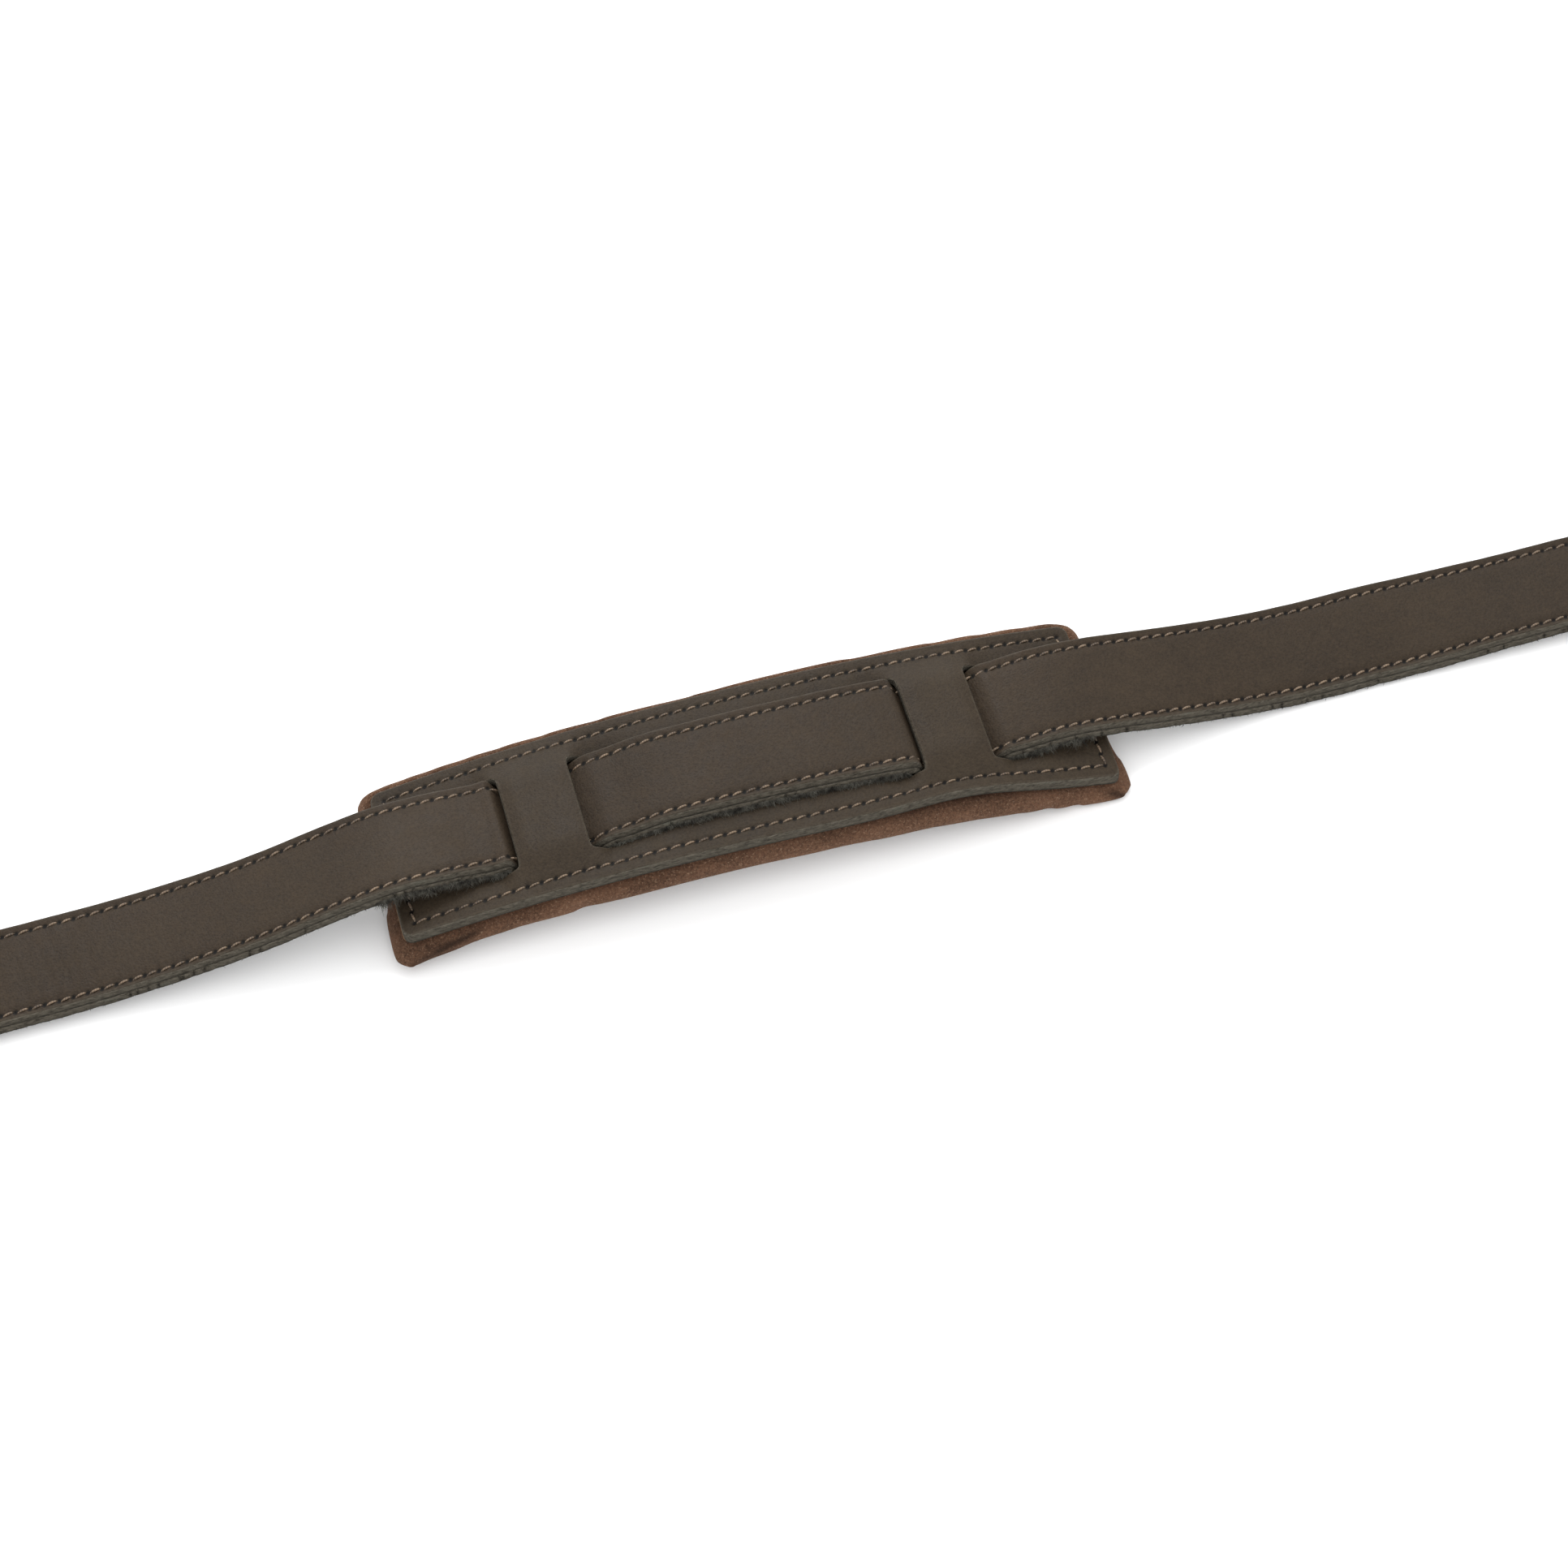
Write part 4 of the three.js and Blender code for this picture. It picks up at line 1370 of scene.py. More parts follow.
    def swollen(self, piece: bpy.types.Object) -> None:
        """Voxel-remeshes the cushion and blows it up as cloth held where the lining covers it,
        keeping each point within the cap, above the table and under the leather.

        Args:
            piece: the cushion, changed in place.
        """
        scene = bpy.context.scene
        bpy.context.view_layer.objects.active = piece
        remesh = piece.modifiers.new("even", "REMESH")
        remesh.mode, remesh.voxel_size = "VOXEL", self.voxel * MM
        bpy.ops.object.select_all(action="DESELECT")
        piece.select_set(True)
        bpy.ops.object.modifier_apply(modifier="even")
        mesh = piece.data
        start = np.zeros(len(mesh.vertices) * 3, np.float32)
        mesh.vertices.foreach_get("co", start)
        start = start.reshape(-1, 3).astype(float) / MM
        inside = -self.outline(start[:, 0], start[:, 1])
        under = start[:, 2] - self.cushion_bottom(start[:, 0], start[:, 1])
        hold = smooth(-0.5, 3.5, inside) * smooth(2.0, 5.0, under)
        group = piece.vertex_groups.new(name="held")
        for weight in np.unique(np.round(hold, 1)):
            members = np.nonzero(np.round(hold, 1) == weight)[0]
            group.add([int(i) for i in members], float(weight), "REPLACE")
        cloth = piece.modifiers.new("swell", "CLOTH")
        cloth.settings.quality = 6
        cloth.settings.mass = 0.25
        cloth.settings.use_pressure = True
        cloth.settings.uniform_pressure_force = self.pressure
        cloth.settings.effector_weights.gravity = 0
        cloth.settings.vertex_group_mass = "held"
        cloth.settings.tension_stiffness = self.stiffness
        cloth.settings.compression_stiffness = self.stiffness
        cloth.point_cache.frame_start, cloth.point_cache.frame_end = 1, self.steps
        for step in range(1, self.steps + 1):
            scene.frame_set(step)
        shown = piece.evaluated_get(bpy.context.evaluated_depsgraph_get())
        moved = np.zeros(len(mesh.vertices) * 3, np.float32)
        shown.data.vertices.foreach_get("co", moved)
        moved = moved.reshape(-1, 3).astype(float) / MM
        piece.modifiers.remove(cloth)
        piece.vertex_groups.clear()
        scene.frame_set(1)
        step = self.evened(mesh, moved - start)
        length = np.linalg.norm(step, axis=1, keepdims=True)
        step = step * np.minimum(1, self.puff_cap / np.maximum(length, 1e-6))
        LOG.info("cushion swelled by %.1f mm at most", float(length.max()))
        points = self.shaped(self.evened(mesh, start + step, 10))
        # How deep each point lies in the gathers, kept as a mark for their painted shade.
        gather_shade = self.gathers(points[:, 0], points[:, 1])
        points = self.lay.warp_pad(points)
        mesh.vertices.foreach_set("co", (points * MM).astype(np.float32).ravel())
        layer = mesh.attributes.new("gather_shade", "FLOAT", "POINT")
        layer.data.foreach_set("value", gather_shade.astype(np.float32))
        mesh.polygons.foreach_set("use_smooth", np.ones(len(mesh.polygons), bool))
        mesh.update()

    def evened(self, mesh: bpy.types.Mesh, step: np.ndarray, rounds: int = 30) -> np.ndarray:
        """Evens out how far points moved: each time, half its own move and half the mean move of
        the points it shares an edge with.

        Args:
            mesh: the mesh whose edges join them.
            step: moves of the points.
            rounds: how many times.

        Returns:
            The evened moves.
        """
        ends = np.zeros(len(mesh.edges) * 2, np.int32)
        mesh.edges.foreach_get("vertices", ends)
        one, two = ends.reshape(-1, 2).T
        count = np.bincount(ends, minlength=len(step)).reshape(-1, 1)
        for _ in range(rounds):
            total = np.zeros_like(step)
            np.add.at(total, one, step[two])
            np.add.at(total, two, step[one])
            step = 0.5 * step + 0.5 * total / count
        return step

    def gathers(self, x: np.ndarray, y: np.ndarray) -> np.ndarray:
        """How deep a place is in the gathers at the near corners: bells across short lines.

        Args:
            x: places along.
            y: places across.

        Returns:
            Depth from 0 to 1.
        """
        deep = np.zeros_like(x)
        for x0, y0, x1, y1, width in (
            (-135.0, -40.6, -122.0, -36.4, 1.2), (-124.5, -36.8, -103.0, -34.2, 1.0),
            (136.0, -38.5, 124.0, -34.4, 1.1),
        ):
            run = np.array([x1 - x0, y1 - y0])
            size = np.hypot(*run)
            t = ((x - x0) * run[0] + (y - y0) * run[1]) / size**2
            off = np.abs((x - x0) * run[1] - (y - y0) * run[0]) / size
            fade = smooth(-0.05, 0.15, t) * (1 - smooth(0.7, 1.05, t))
            deep = np.maximum(deep, bump(0, width, off) * fade)
        return deep

    def shaped(self, points: np.ndarray) -> np.ndarray:
        """Presses the swollen cushion under the leather, onto the table and into its gathers.

        Args:
            points: places in millimetres.

        Returns:
            The shaped points.
        """
        x, y, z = points.T.copy()
        out = np.maximum(self.outline(x, y), 0)
        ceiling = self.lay.layers.lining_bottom - 0.15 + self.lay.padding_rise(x, y)
        ceiling = ceiling + self.far_roll(out, y) - 0.25 * out * smooth(10, -20, y)
        z = np.minimum(z, ceiling)
        floor = np.maximum(self.cushion_bottom(x, y) - 0.9, 0.15)
        seam = np.minimum(np.abs(np.abs(y) - self.row_y), np.abs(np.abs(x) - self.row_x))
        inside = (np.abs(x) < self.row_x + 1) & (np.abs(y) < self.row_y + 1)
        low = z < floor + 1.2
        z = np.maximum(z, floor)
        z = z + np.where(low & inside, 1.5 * bump(0, 2.2, seam), 0)
        fold = self.gather_depth * self.gathers(x, y) * smooth(2.0, 5.0, z - floor)
        return np.stack([x, y, z - fold], 1)

    def build_cushion(self, finish: bpy.types.Material) -> bpy.types.Object:
        """Foam in its suede cover: swollen cloth over the sewn outline.

        Args:
            finish: its material.

        Returns:
            The piece.
        """
        reach = self.suede_margin + 2.5
        half, width = self.lay.pad_half + reach, self.lay.pad_width / 2 + reach
        slab = Slab(
            spaced(-half, half, 2.0), spaced(-width, width, 1.5), self.cushion_outline,
            self.cushion_top, self.cushion_bottom, rim=2.2, foot=2.6, bulge=0.8, rows=4,
        )
        piece = slab.surface().to_object("pad_cushion", finish)
        for key in ("wall", "inset", "under", "hole_shade"):
            piece.data.attributes.remove(piece.data.attributes[key])
        self.swollen(piece)
        finer = piece.modifiers.new("finer", "SUBSURF")
        finer.levels = finer.render_levels = 1
        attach(piece, Body.PAD.value)
        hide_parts("pad_suede_cover", "pad_foam_core")
        return piece

    def build_stitches(self, finish: bpy.types.Material) -> list[bpy.types.Object]:
        """Long rows and end rows, each from needle hole to needle hole.

        Args:
            finish: the thread.

        Returns:
            The four rows.
        """
        lay, rows = self.lay, []
        count = round(2 * self.row_x / self.stitch_pitch)
        along = np.linspace(-self.row_x, self.row_x, count + 1)
        count_y = round(2 * self.row_y / self.stitch_pitch)
        across = np.linspace(-self.row_y, self.row_y, count_y + 1)
        for name, x, y, sink in (
            ("front", along, np.full_like(along, -self.row_y), 0.5),
            ("back", along, np.full_like(along, self.row_y), 0.6),
            ("left", np.full_like(across, -self.row_x), across, 0.5),
            ("right", np.full_like(across, self.row_x), across, 0.5),
        ):
            height = lay.layers.leather_top + lay.leather_rise(x, y) - 0.2
            surface = stitch_row(np.stack([x, y, height], 1), 0.43, 0.24, sink, 0.7)
            surface.points = lay.warp_leather(surface.points)
            piece = surface.to_object(f"pad_stitches_{name}", finish)
            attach(piece, Body.PAD.value)
            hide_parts(f"pad_stitch_{name}")
            rows.append(piece)
        return rows

    def build(self, finishes: dict[str, bpy.types.Material]) -> list[bpy.types.Object]:
        """Makes every piece of the pad from the bottom up.

        Args:
            finishes: the materials by use.

        Returns:
            The pieces.
        """
        self.made = [
            self.build_cushion(finishes["suede"]),
            self.build_lining(finishes["lining"]),
            self.build_leather(finishes["pad_leather"]),
            *self.build_stitches(finishes["pad_thread"]),
        ]
        return self.made


# ------------------------------------------------------------------ the strap


@dataclass(frozen=True)
class Half:
    """One visual half of the strap: the halves meet out of sight under a bridge."""

    name: str
    left: float
    right: float
    bodies: tuple[Body, Body]
    start: float
    end: float


@dataclass
class Strap:
    """Two-ply strap woven through the pad, with its stitches and the loose fibres of its edge."""

    lay: Lay
    join: float = 74.0
    end_radius: float = 6.0
    stitch_inset: float = 3.4
    stitch_pitch: float = 5.0
    proud: float = 0.9
    tuck: float = 1.3
    back_tuck: float = 0.3
    screw_places: tuple[float, float] = SCREW_PLACES
    post_hole: float = POST_HOLE
    made: list[bpy.types.Object] = field(default_factory=list)

    @property
    def halves(self) -> tuple[Half, Half]:
        """Left and right half, each with its two bodies and a start and end along the strap.

        Returns:
            Both halves.
        """
        lay = self.lay
        return (
            Half("left", lay.strap_left, self.join, (Body.STRAP, Body.PAD), -480, -142),
            Half("right", self.join, lay.strap_right, (Body.PAD, Body.STRAP), 142, 330),
        )

    @property
    def row_y(self) -> float:
        """Strap middle to a long stitch row."""
        return self.lay.strap_width / 2 - self.stitch_inset

    def follow(self, piece: bpy.types.Object) -> None:
        """Bakes a finished piece's transform into its mesh."""
        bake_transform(piece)

    def outline(self, half: Half, tuck: float) -> Field:
        """Distance to one half's outline, whose near edge is tucked in, less the posts' holes.

        Args:
            half: which half.
            tuck: how far the near edge is drawn in.

        Returns:
            The distance as a function of place.
        """
        left_radius = self.end_radius if half.name == "left" else 0.01
        right_radius = self.end_radius if half.name == "right" else 0.01

        def cut(x: np.ndarray, y: np.ndarray) -> np.ndarray:
            """Rounded rectangle less the holes.

            Args:
                x: places along.
                y: places across.

            Returns:
                Distance to the outline, below zero on leather.
            """
            away = rounded_box(
                x, y - tuck / 2, half.left, half.right, (self.lay.strap_width - tuck) / 2,
                left_radius, right_radius,
            )
            for place in self.screw_places:
                away = np.maximum(away, -disc(x, y, place, 0.0, self.post_hole))
            return away

        return cut

    def hole_depth(self, x: np.ndarray, y: np.ndarray) -> np.ndarray:
        """1 in the middle of a needle hole of either long row.

        Args:
            x: places along.
            y: places across.

        Returns:
            Depth from 0 to 1.
        """
        off = x / self.stitch_pitch
        off = (off - np.round(off)) * self.stitch_pitch
        away = np.hypot(off, np.abs(y) - self.row_y)
        ends = (x > self.lay.strap_left + 2.5) & (x < self.lay.strap_right - 2.5)
        return np.where(ends, bump(0, NEEDLE, away), 0)

    def creases(self, x: np.ndarray, y: np.ndarray) -> np.ndarray:
        """Shallow folds across the strap where it was once bent, each a bell across its line.

        Args:
            x: places along.
            y: places across.

        Returns:
            Depth in millimetres.
        """
        rng = np.random.default_rng(17)
        depth = np.zeros_like(x)
        for place in (-268, -262, -257.5, -252, -247, -243, -238):
            lean = rng.uniform(-0.22, 0.05)
            width = rng.uniform(0.7, 1.4)
            size = rng.uniform(0.08, 0.24)
            low, high = rng.uniform(-19, -8), rng.uniform(4, 17)
            line = x - place - lean * y - 0.8 * np.sin(y / 6.0 + place)
            reach = smooth(low - 3, low + 3, y) * (1 - smooth(high - 4, high + 4, y))
            depth = depth + size * bump(0, width, line) * reach
        return depth

    def top(self, x: np.ndarray, y: np.ndarray) -> np.ndarray:
        """The strap's face: padded a little between the rows, grooved along them, with needle
        holes, old creases and a slow unevenness.

        Args:
            x: places along.
            y: places across.

        Returns:
            The height of the face.
        """
        away = np.abs(y) - self.row_y
        plump = 0.28 * (1 - (y / self.row_y) ** 2) * (np.abs(y) < self.row_y)
        groove = 0.3 * bump(0, 1.3, away)
        slow = 0.22 * drift(x, 3, 64) * drift(y, 4, 46)
        base = self.lay.strap_bottom(x, y) + self.lay.layers.strap
        return base + plump - groove + slow - self.creases(x, y) - 0.7 * self.hole_depth(x, y)

    def lines(
        self, half: Half, step: float, tuck: float = 0.0,
    ) -> tuple[np.ndarray, np.ndarray]:
        """Grid lines of a ply's half: multiples of the step, closer at its ends and edges and
        where it dives under a bridge, with the near edge tucked in.

        Args:
            half: which half.
            step: distance between lines along.
            tuck: how far the near edge is drawn in.

        Returns:
            Lines along and lines across.
        """
        first = math.ceil(half.left / step) * step
        inner = np.arange(first, half.right, step)
        close = np.array([0.0, 0.1, 0.35, 0.8])
        holes = [place + spaced(-3.3, 3.3, 0.55) for place in self.screw_places]
        holes = [run for run in holes if half.left < run[0] and run[-1] < half.right]
        dives = [run for run in (spaced(-91, -85.5, 0.55), spaced(57, 62.5, 0.55))
                 if half.left < run[0] and run[-1] < half.right]
        xs = places(inner, half.left + close, half.right - close, *holes, *dives, nearest=0.07)
        edge = self.lay.strap_width / 2 - close
        rows = self.row_y + np.array([-1.3, -0.65, 0, 0.65, 1.3])
        middle = spaced(-self.row_y + 1.3, self.row_y - 1.3, 2.0 * step / 1.25)
        fine = spaced(-3.3, 3.3, 0.55) if holes else np.array([0.0])
        ys = places(middle, edge, tuck - edge, rows, -rows, fine, nearest=0.07)
        return xs, ys

    def build_plies(
        self, half: Half, top_finish: bpy.types.Material, back_finish: bpy.types.Material,
    ) -> list[bpy.types.Object]:
        """Top and backing ply of one half, each a slab on the strap's own heights.

        Args:
            half: which half.
            top_finish: leather of the top ply.
            back_finish: leather of the backing ply.

        Returns:
            Both plies.
        """
        layers, cut = self.lay.layers, self.outline(half, self.back_tuck)
        xs, ys = self.lines(half, 1.25, self.tuck)
        top = Slab(
            xs, ys, self.outline(half, self.tuck), self.top,
            lambda x, y: self.lay.strap_bottom(x, y) + layers.ply + 0.06,
            rim=0.45, foot=0.1, bulge=0.1, splay=1.0, rows=3, hole_shade=self.hole_depth,
        ).surface(self.lay.warp_strap).to_object(f"strap_top_{half.name}", top_finish)
        xs, ys = self.lines(half, 1.25, self.back_tuck)

        def ragged(x: np.ndarray, y: np.ndarray) -> np.ndarray:
            """The backing's outline, cut a little unevenly, and standing out on the near side."""
            return cut(x, y) + 0.16 * drift(x, 31, 19) + 0.12 * drift(x, 32, 4.1)

        back = Slab(
            xs, ys, ragged,
            lambda x, y: self.lay.strap_bottom(x, y) + layers.ply,
            lambda x, y: self.lay.strap_bottom(x, y),
            rim=0.12, foot=0.4, bulge=0.2, splay=self.proud + self.back_tuck, rows=3,
        ).surface(self.lay.warp_strap).to_object(f"strap_backing_{half.name}", back_finish)
        for piece, node, slot in (
            (top, "strap_top_ply", "strap_leather"), (back, "strap_backing_ply", "strap_backing"),
        ):
            self.follow(piece)
            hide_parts(node)
        return [top, back]

    def row_height(self, x: np.ndarray, y: np.ndarray) -> np.ndarray:
        """The groove's bottom, where stitches lie."""
        return self.lay.strap_bottom(x, y) + self.lay.layers.strap - 0.26

    def build_rows(self, half: Half, finish: bpy.types.Material) -> list[bpy.types.Object]:
        """Both long stitch rows of one half.

        Args:
            half: which half.
            finish: the thread.

        Returns:
            The front and the back row.
        """
        made = []
        left = max(half.left, self.lay.strap_left + self.stitch_inset)
        right = min(half.right, self.lay.strap_right - self.stitch_inset)
        first = math.ceil(left / self.stitch_pitch) * self.stitch_pitch
        x = np.arange(first, right + 0.01, self.stitch_pitch)
        if half.name == "right":
            x = np.concatenate([[x[0] - self.stitch_pitch], x])
        else:
            x = np.sort(np.append(x, self.lay.bridge_start - 3.0))
        for name, side in (("front", -1), ("back", 1)):
            y = np.full_like(x, side * self.row_y)
            surface = stitch_row(
                np.stack([x, y, self.row_height(x, y)], 1), 0.45, 0.27, 0.5, 0.75,
            )
            surface.points = self.lay.warp_strap(surface.points)
            piece = surface.to_object(f"strap_stitches_{name}_{half.name}", finish)
            self.follow(piece)
            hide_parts(f"strap_stitch_{name}")
            made.append(piece)
        return made

    def build_end_rows(self, finish: bpy.types.Material) -> list[bpy.types.Object]:
        """The short stitch rows across the strap's two ends.

        Args:
            finish: its material.

        Returns:
            Both rows.
        """
        made = []
        steps = round(2 * self.row_y / self.stitch_pitch)
        y = np.linspace(-self.row_y, self.row_y, steps + 1)
        for name, place in (
            ("left", self.lay.strap_left + self.stitch_inset),
            ("right", self.lay.strap_right - self.stitch_inset),
        ):
            x = np.full_like(y, place)
            surface = stitch_row(
                np.stack([x, y, self.row_height(x, y) + 0.1], 1), 0.42, 0.25, 0.5, 0.6,
            )
            surface.points = self.lay.warp_strap(surface.points)
            piece = surface.to_object(f"strap_end_stitches_{name}", finish)
            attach(piece, Body.STRAP.value)
            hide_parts(f"strap_stitch_{name}_end")
            made.append(piece)
        return made

    def build_fibres(self, half: Half, finish: bpy.types.Material) -> bpy.types.Object:
        """Fibres hanging from the backing's lower near edge: long where the strap crosses the
        pad and short elsewhere, denser in seeded tufts.

        Args:
            half: which half.
            finish: the fibres' finish.

        Returns:
            One piece with all of the half's fibres.
        """
        rng = np.random.default_rng(7 if half.name == "left" else 8)
        runs = [(-138, -90, 26, 1.6), (-58, 55, 26, 1.6), (90, 124, 26, 1.5),
                (half.left + 8, half.right - 8, 3.0, 0.45)]
        roots, reaches, curls = [], [], []
        for start, end, density, length in runs:
            start, end = max(start, half.left + 4), min(end, half.right - 1)
            if end - start < 4:
                continue
            count = int((end - start) * density)
            x = rng.uniform(start, end, count)
            side = np.where(rng.uniform(0, 1, count) < (0.88 if length > 1 else 0.6), -1.0, 1.0)
            up = rng.uniform(0.05, 1.0, count) ** 1.6 * 1.7
            y = side * (self.lay.strap_width / 2 - 0.2) - np.where(side < 0, self.proud, 0)
            tuft = np.clip(1 + 0.6 * drift(x, 13, 14), 0.3, 1.7)
            reach = length * tuft * rng.gamma(4.0, 0.25, count)
            reach = np.minimum(reach, 3.3 if length > 1 else 1.0)
            roots.append(np.stack([x, y, self.lay.strap_bottom(x, y) + up], 1))
            lean = rng.normal(0, 0.42, count)
            reaches.append(np.stack([
                reach * lean, side * reach * rng.uniform(0.35, 0.9, count),
                -reach * rng.uniform(0.05, 0.55, count),
            ], 1))
            curls.append(np.stack([
                reach * rng.normal(0, 0.3, count), side * reach * rng.normal(0, 0.15, count),
                -reach * rng.uniform(0.05, 0.5, count),
            ], 1))
        surface = fibres(np.vstack(roots), np.vstack(reaches), np.vstack(curls), 0.13)
        surface.points = self.lay.warp_strap(surface.points)
        surface.points[:, 2] = np.maximum(surface.points[:, 2], 0.2)
        piece = surface.to_object(f"strap_edge_fibres_{half.name}", finish)
        self.follow(piece)
        return piece

    def build(self, finishes: dict[str, bpy.types.Material]) -> list[bpy.types.Object]:
        """Makes both halves of the strap and the end rows.

        Args:
            finishes: the materials by use.

        Returns:
            The pieces.
        """
        for half in self.halves:
            self.made += self.build_plies(half, finishes["strap_leather"], finishes["backing"])
            self.made += self.build_rows(half, finishes["thread"])
            self.made.append(self.build_fibres(half, finishes["fibre"]))
        self.made += self.build_end_rows(finishes["thread"])
        return self.made


# ------------------------------------------------------------------ tab, tail and screws


@dataclass
class EndFittings:
    """Button tab, tail with its row of holes, the tab's stitches, posts and screws."""

    lay: Lay
    tip: float = 570.0
    thickness: float = 3.5
    hole_radius: float = 4.25
    slit_half: float = 0.8
    slit_length: float = 16.0
    setback: float = 16.0
    tab_half: float = 18.0
    tail_half: float = 15.0
    tail_holes: tuple = tuple(350.0 + 25.0 * i for i in range(7))
    screw_places: tuple[float, float] = SCREW_PLACES
    flange_recess: float = 5.6
    made: list[bpy.types.Object] = field(default_factory=list)

    def button_hole(self, x: np.ndarray, y: np.ndarray, place: float, side: int) -> np.ndarray:
        """Distance to a round hole joined to a slit that runs towards the strap's middle.

        Args:
            x: places along.
            y: places across.
            place: the button's place.
            side: 1 where the slit runs to the right, -1 to the left.

        Returns:
            Distance to the opening, below zero inside.
        """
        end = place + side * (self.hole_radius + self.slit_length)
        slit = rounded_box(
            x, y, min(place, end), max(place, end), self.slit_half, 0.3, 0.3,
        )
        return np.minimum(disc(x, y, place, 0.0, self.hole_radius), slit)

    def strip(
        self, name: str, node: str, left: float, right: float, half: float,
        radii: tuple[float, float], finish: bpy.types.Material,
    ) -> bpy.types.Object:
        """A flat leather strip with its button hole and, on the tail, its other holes.

        Args:
            name: the new piece.
            node: the CAD node that it stands for.
            left: its left end.
            right: its right end.
            half: half its width.
            radii: corner radius at its left and at its right end.
            finish: its leather.

        Returns:
            The piece.
        """
        side = 1 if left < 0 else -1
        button = left + self.setback if side > 0 else right - self.setback
        holes = self.tail_holes if side < 0 else ()

        def cut(x: np.ndarray, y: np.ndarray) -> np.ndarray:
            """Rounded strip less its holes.

            Args:
                x: places along.
                y: places across.

            Returns:
                Distance to the outline, below zero on leather.
            """
            away = rounded_box(x, y, left, right, half, *radii)
            away = np.maximum(away, -self.button_hole(x, y, button, side))
            for place in holes:
                away = np.maximum(away, -disc(x, y, place, 0.0, POST_HOLE))
            return away

        def under(x: np.ndarray, y: np.ndarray) -> np.ndarray:
            """The underside, with a recess round each post's flange."""
            height = np.zeros_like(x)
            for place in self.screw_places if side < 0 else ():
                height = height + 1.8 * (disc(x, y, place, 0.0, self.flange_recess) < 0)
            return height

        def face(x: np.ndarray, y: np.ndarray) -> np.ndarray:
            """The face, softly domed, with a scored line near its edge."""
            away = -rounded_box(x, y, left, right, half, *radii)
            return self.thickness - 0.16 * bump(2.6, 0.55, away) + 0.05 * drift(x, 51, 40)

        close = np.array([0, 0.1, 0.35, 0.8, 1.5, 2.1, 2.6, 3.1])
        rounds = [place + spaced(-5.4, 5.4, 0.6) for place in (*holes, button)]
        xs = places(spaced(left, right, 1.25), left + close, right - close, *rounds, nearest=0.07)
        slit = self.slit_half + np.array([-0.3, -0.1, 0, 0.1, 0.3, 0.7])
        edge = half - close
        ys = places(spaced(-5.4, 5.4, 0.6), spaced(-half, half, 1.6), edge, -edge, slit, -slit,
                    nearest=0.07)
        slab = Slab(xs, ys, cut, face, under, rim=0.7, foot=0.4, bulge=0.15, rows=3)
        piece = slab.surface().to_object(name, finish)
        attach(piece, Body.STRAP.value)
        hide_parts(node)
        return piece

    def build_tab_stitches(self, finish: bpy.types.Material) -> bpy.types.Object:
        """The closed rectangle of stitches that holds the tab.

        Args:
            finish: its material.

        Returns:
            The piece.
        """
        left, right, half = self.lay.strap_left + 10.2, self.lay.tab_right - 3.4, 12.0
        height = self.lay.layers.end_seat + self.lay.layers.strap + 0.12
        across = np.linspace(-half, half, 6)
        along = np.linspace(left, right, 5)
        sides = (
            (along, np.full(5, -half)), (np.full(6, right), across),
            (along[::-1], np.full(5, half)), (np.full(6, left), across[::-1]),
        )
        surface = None
        for x, y in sides:
            run = stitch_row(np.stack([x, y, np.full(len(x), height)], 1), 0.42, 0.3, 0.4, 0.5)
            surface = run if surface is None else surface.joined(run)
        piece = surface.to_object("front_tab_stitches", finish)
        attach(piece, Body.STRAP.value)
        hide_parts("front_tab_stitching")
        return piece

    def build_post(self, number: int, x: float, finish: bpy.types.Material) -> bpy.types.Object:
        """Flanged barrel up through tail and strap, its edges broken.

        Args:
            number: which screw.
            x: where it stands.
            finish: its material.

        Returns:
            The piece.
        """
        top = self.lay.layers.end_seat + self.lay.layers.strap - GAP
        profile = [
            (0, GAP), (4.6, GAP), (4.9, GAP + 0.1), (5.0, GAP + 0.35), (5.0, GAP + 0.9),
            (4.8, GAP + 1.15), (4.5, GAP + 1.2), (2.45, GAP + 1.2), (2.4, GAP + 1.3),
            (2.4, top - 0.2), (2.25, top), (1.95, top), (1.8, top - 0.15), (1.8, 2.35),
            (1.75, 2.3), (0, 2.3),
        ]
        piece = turned(profile, x).to_object(f"post_{number}", finish)
        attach(piece, Body.STRAP.value)
        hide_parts(f"screw_post_{number}")
        return piece

    def build_screw(
        self, number: int, x: float, body: Body, finish: bpy.types.Material,
    ) -> bpy.types.Object:
        """Slotted screw: a domed round head with a cut slot over a turned shank.

        Args:
            number: which screw.
            x: where it stands.
            body: the body that it turns with.
            finish: its plating.

        Returns:
            The piece.
        """
        low = self.lay.layers.end_seat + self.lay.layers.strap + GAP
        radius, height, slot_half = 5.0, 1.7, 0.6

        def head(px: np.ndarray, py: np.ndarray) -> np.ndarray:
            """Dome less the slot."""
            dome = low + height - 0.35 * (np.hypot(px - x, py) / radius) ** 2
            return dome - 0.8 * (np.abs(py) < slot_half + 0.01)

        lines = spaced(-radius, radius, 0.42)
        edge = radius - np.array([0, 0.08, 0.3])
        slot = np.array([slot_half, slot_half + 0.07, slot_half + 0.18])
        cut = Slab(
            places(lines, edge, -edge) + x, places(lines, edge, -edge, slot, -slot),
            lambda px, py: disc(px, py, x, 0.0, radius), head,
            lambda px, py: np.full_like(px, low), rim=0.6, foot=0.15, bulge=0.0, rows=3,
        )
        shank = turned([
            (0, 2.6), (1.2, 2.6), (1.5, 2.9), (1.5, low + 0.3), (1.2, low + 0.5),
            (0, low + 0.5),
        ], x)
        surface = cut.surface()
        surface.marks = {}
        piece = surface.joined(shank).to_object(f"screw_{number}_slotted", finish)
        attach(piece, body.value)
        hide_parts(f"tail_screw_{number}")
        return piece

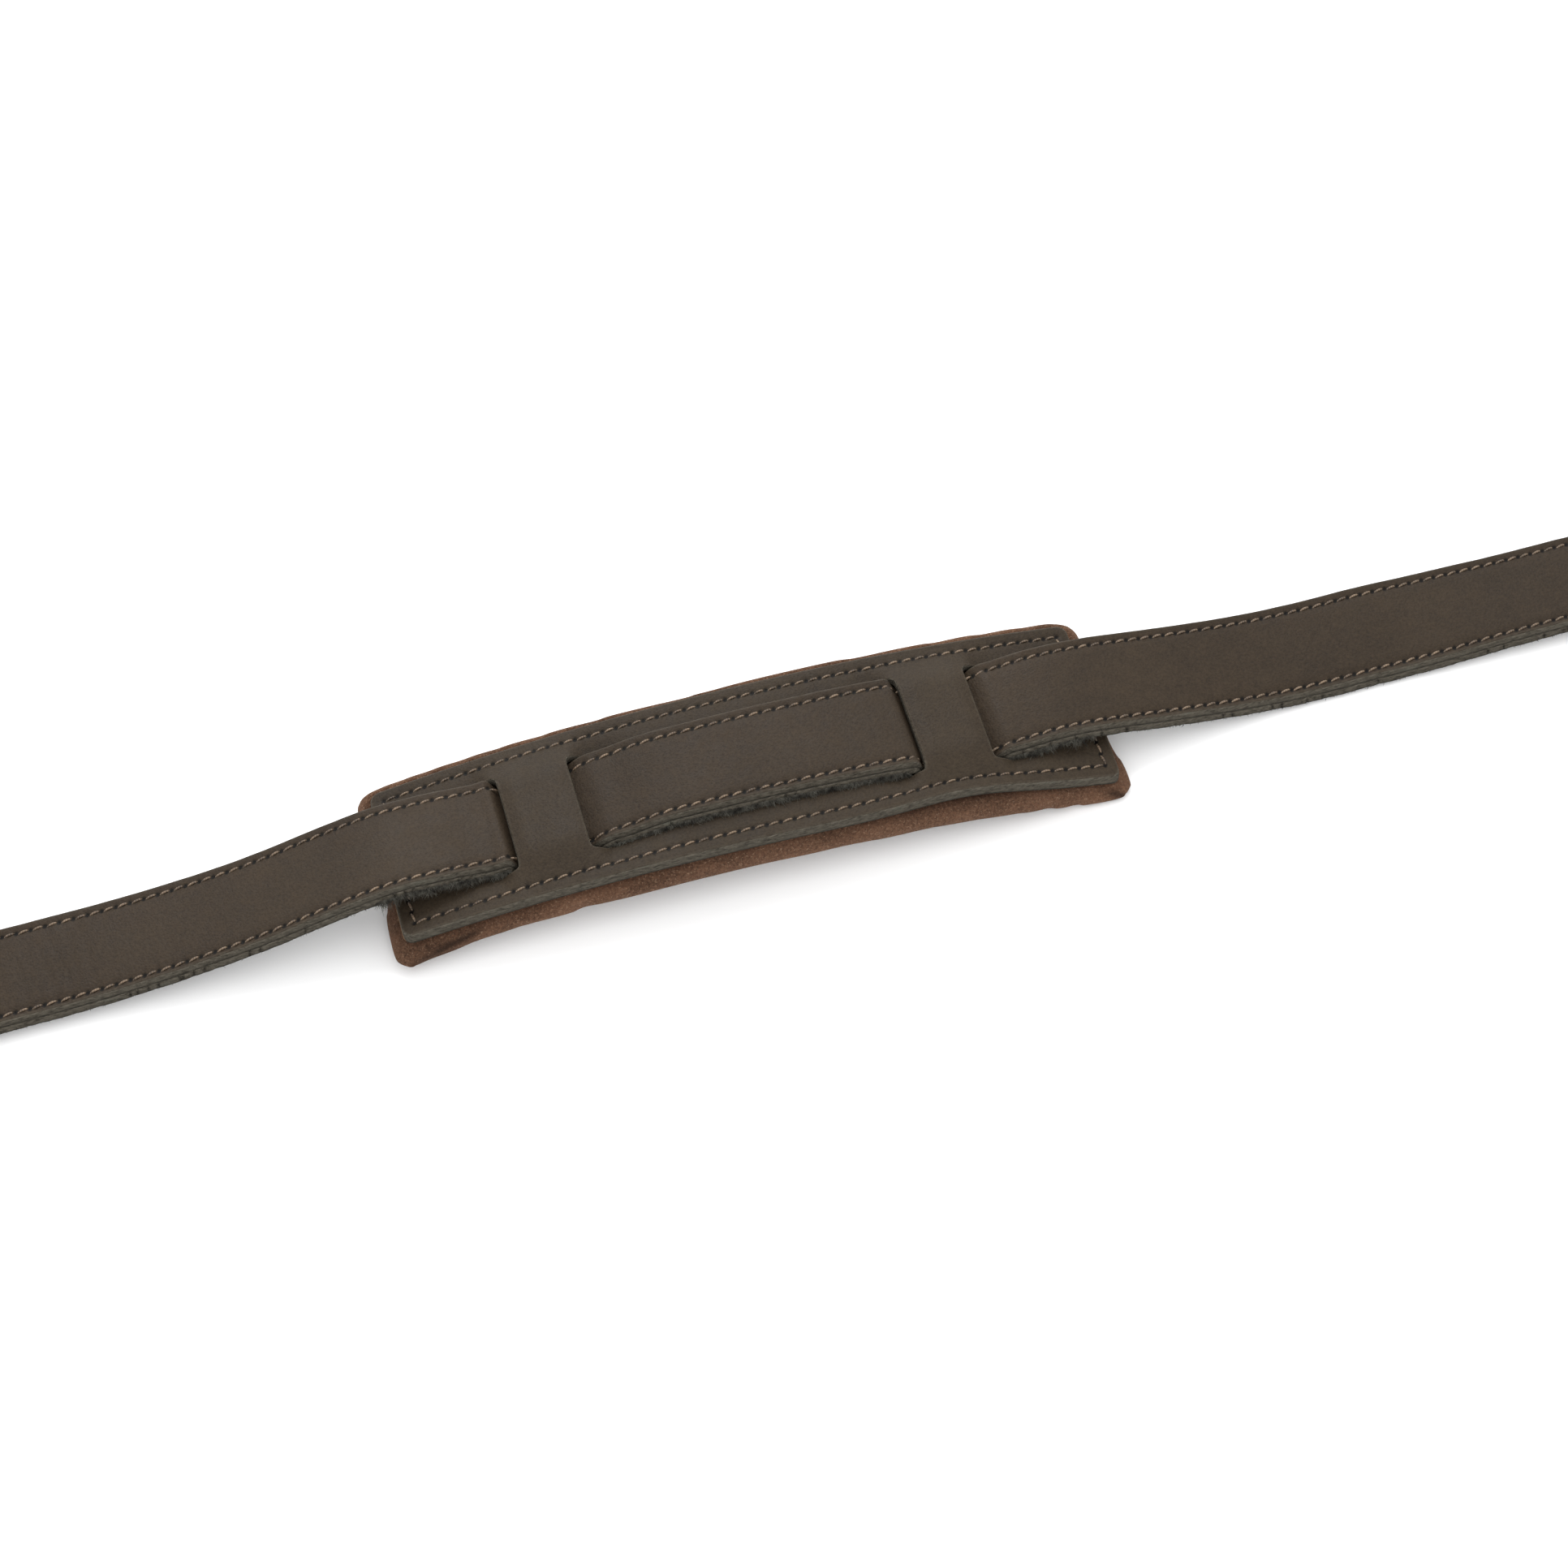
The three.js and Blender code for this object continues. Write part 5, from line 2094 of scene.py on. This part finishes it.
    def build(self, finishes: dict[str, bpy.types.Material]) -> list[bpy.types.Object]:
        """Makes tab, tail, stitches, posts and screws.

        Args:
            finishes: the materials by use.

        Returns:
            The pieces.
        """
        leather, nickel = finishes["end_leather"], finishes["nickel"]
        self.made = [
            self.strip("button_tab", "front_button_tab", -self.tip, self.lay.tab_right,
                       self.tab_half, (17.5, 4.0), leather),
            self.strip("tail_strip", "rear_tail", self.lay.tail_left, self.tip,
                       self.tail_half, (4.0, 14.5), leather),
            self.build_tab_stitches(finishes["thread"]),
        ]
        bodies = (Body.SCREW_1, Body.SCREW_2)
        for number, (x, body) in enumerate(zip(self.screw_places, bodies), 1):
            self.made.append(self.build_post(number, x, nickel))
            self.made.append(self.build_screw(number, x, body, nickel))
        return self.made


# ------------------------------------------------------------------ the studio


@dataclass
class Studio:
    """Pale table, soft light and the camera."""

    azimuth: float = 16.975
    elevation: float = 56.12
    distance: float = 1059.9
    side_shift: float = 13.6
    up_shift: float = 5.9
    lens: float = 67.34
    floor_size: float = 12.0

    def camera(self) -> None:
        """Places the camera at its angle and distance from the pad's middle."""
        a, e = math.radians(self.azimuth), math.radians(self.elevation)
        right = Vector((math.cos(a), -math.sin(a), 0))
        forward = Vector((math.sin(a) * math.cos(e), math.cos(a) * math.cos(e), -math.sin(e)))
        up = right.cross(forward)
        place = -self.distance * forward + self.side_shift * right + self.up_shift * up
        data = bpy.data.cameras.new("camera")
        data.lens, data.sensor_width = self.lens, 36.0
        data.clip_start, data.clip_end = 0.05, 40.0
        camera = bpy.data.objects.new("camera", data)
        turn = Matrix((right, up, -forward)).transposed()
        camera.matrix_world = Matrix.Translation(place * MM) @ turn.to_4x4()
        bpy.context.scene.collection.objects.link(camera)
        bpy.context.scene.camera = camera

    def floor(self) -> None:
        """A wide white matt table just under the object."""
        half = self.floor_size * 1000 / 2
        corners = np.array([[-half, -half, 0], [half, -half, 0], [half, half, 0], [-half, half, 0]])
        table = Surface(corners - [0, 0, 0.3], np.array([[0, 1, 2, 3]]))
        table.to_object("table", Table().material())

    def lights(self) -> None:
        """An even white surround and two large soft boxes, one behind and one in front."""
        world = bpy.data.worlds.new("studio")
        bpy.context.scene.world = world
        world.use_nodes = True
        back = world.node_tree.nodes["Background"]
        back.inputs["Color"].default_value = linear("#ffffff")
        back.inputs["Strength"].default_value = 1.3
        for name, place, size, power in (
            ("behind", (0.1, 1.5, 1.7), 1.3, 44.0), ("front", (-0.2, -1.9, 1.4), 1.8, 12.0),
        ):
            data = bpy.data.lights.new(name, "AREA")
            data.shape, data.size, data.energy = "DISK", size, power
            light = bpy.data.objects.new(name, data)
            towards = -Vector(place)
            turn = towards.to_track_quat("-Z", "Y").to_matrix().to_4x4()
            light.matrix_world = Matrix.Translation(place) @ turn
            bpy.context.scene.collection.objects.link(light)
        bpy.context.scene.view_settings.view_transform = "Standard"

    def build(self) -> None:
        """Camera first, then table and lights."""
        self.camera()
        self.floor()
        self.lights()


def main() -> None:
    """Builds the studio, the pad, the strap and its ends."""
    logging.basicConfig(level=logging.INFO, format="%(message)s")
    Studio().build()
    lay = Lay()
    finishes = {
        "strap_leather": Leather("oiled_full_grain_leather").material(),
        "backing": Leather("raw_backing_leather", dark="#24221d", light="#4b4941").material(),
        "pad_leather": Leather("oiled_pad_leather", dark="#18120c", light="#382f24").material(),
        "end_leather": Leather("oiled_end_leather").material(),
        "suede": Suede().material(),
        "lining": Felted().material(),
        "thread": Thread("waxed_strap_thread").material(),
        "pad_thread": Thread("waxed_pad_thread").material(),
        "nickel": Nickel().material(),
        "fibre": Fibre().material(),
    }
    for part in (ShoulderPad(lay), Strap(lay), EndFittings(lay)):
        for piece in part.build(finishes):
            LOG.info("%s: %d faces", piece.name, len(piece.data.polygons))


if __name__ == "__main__":
    main()
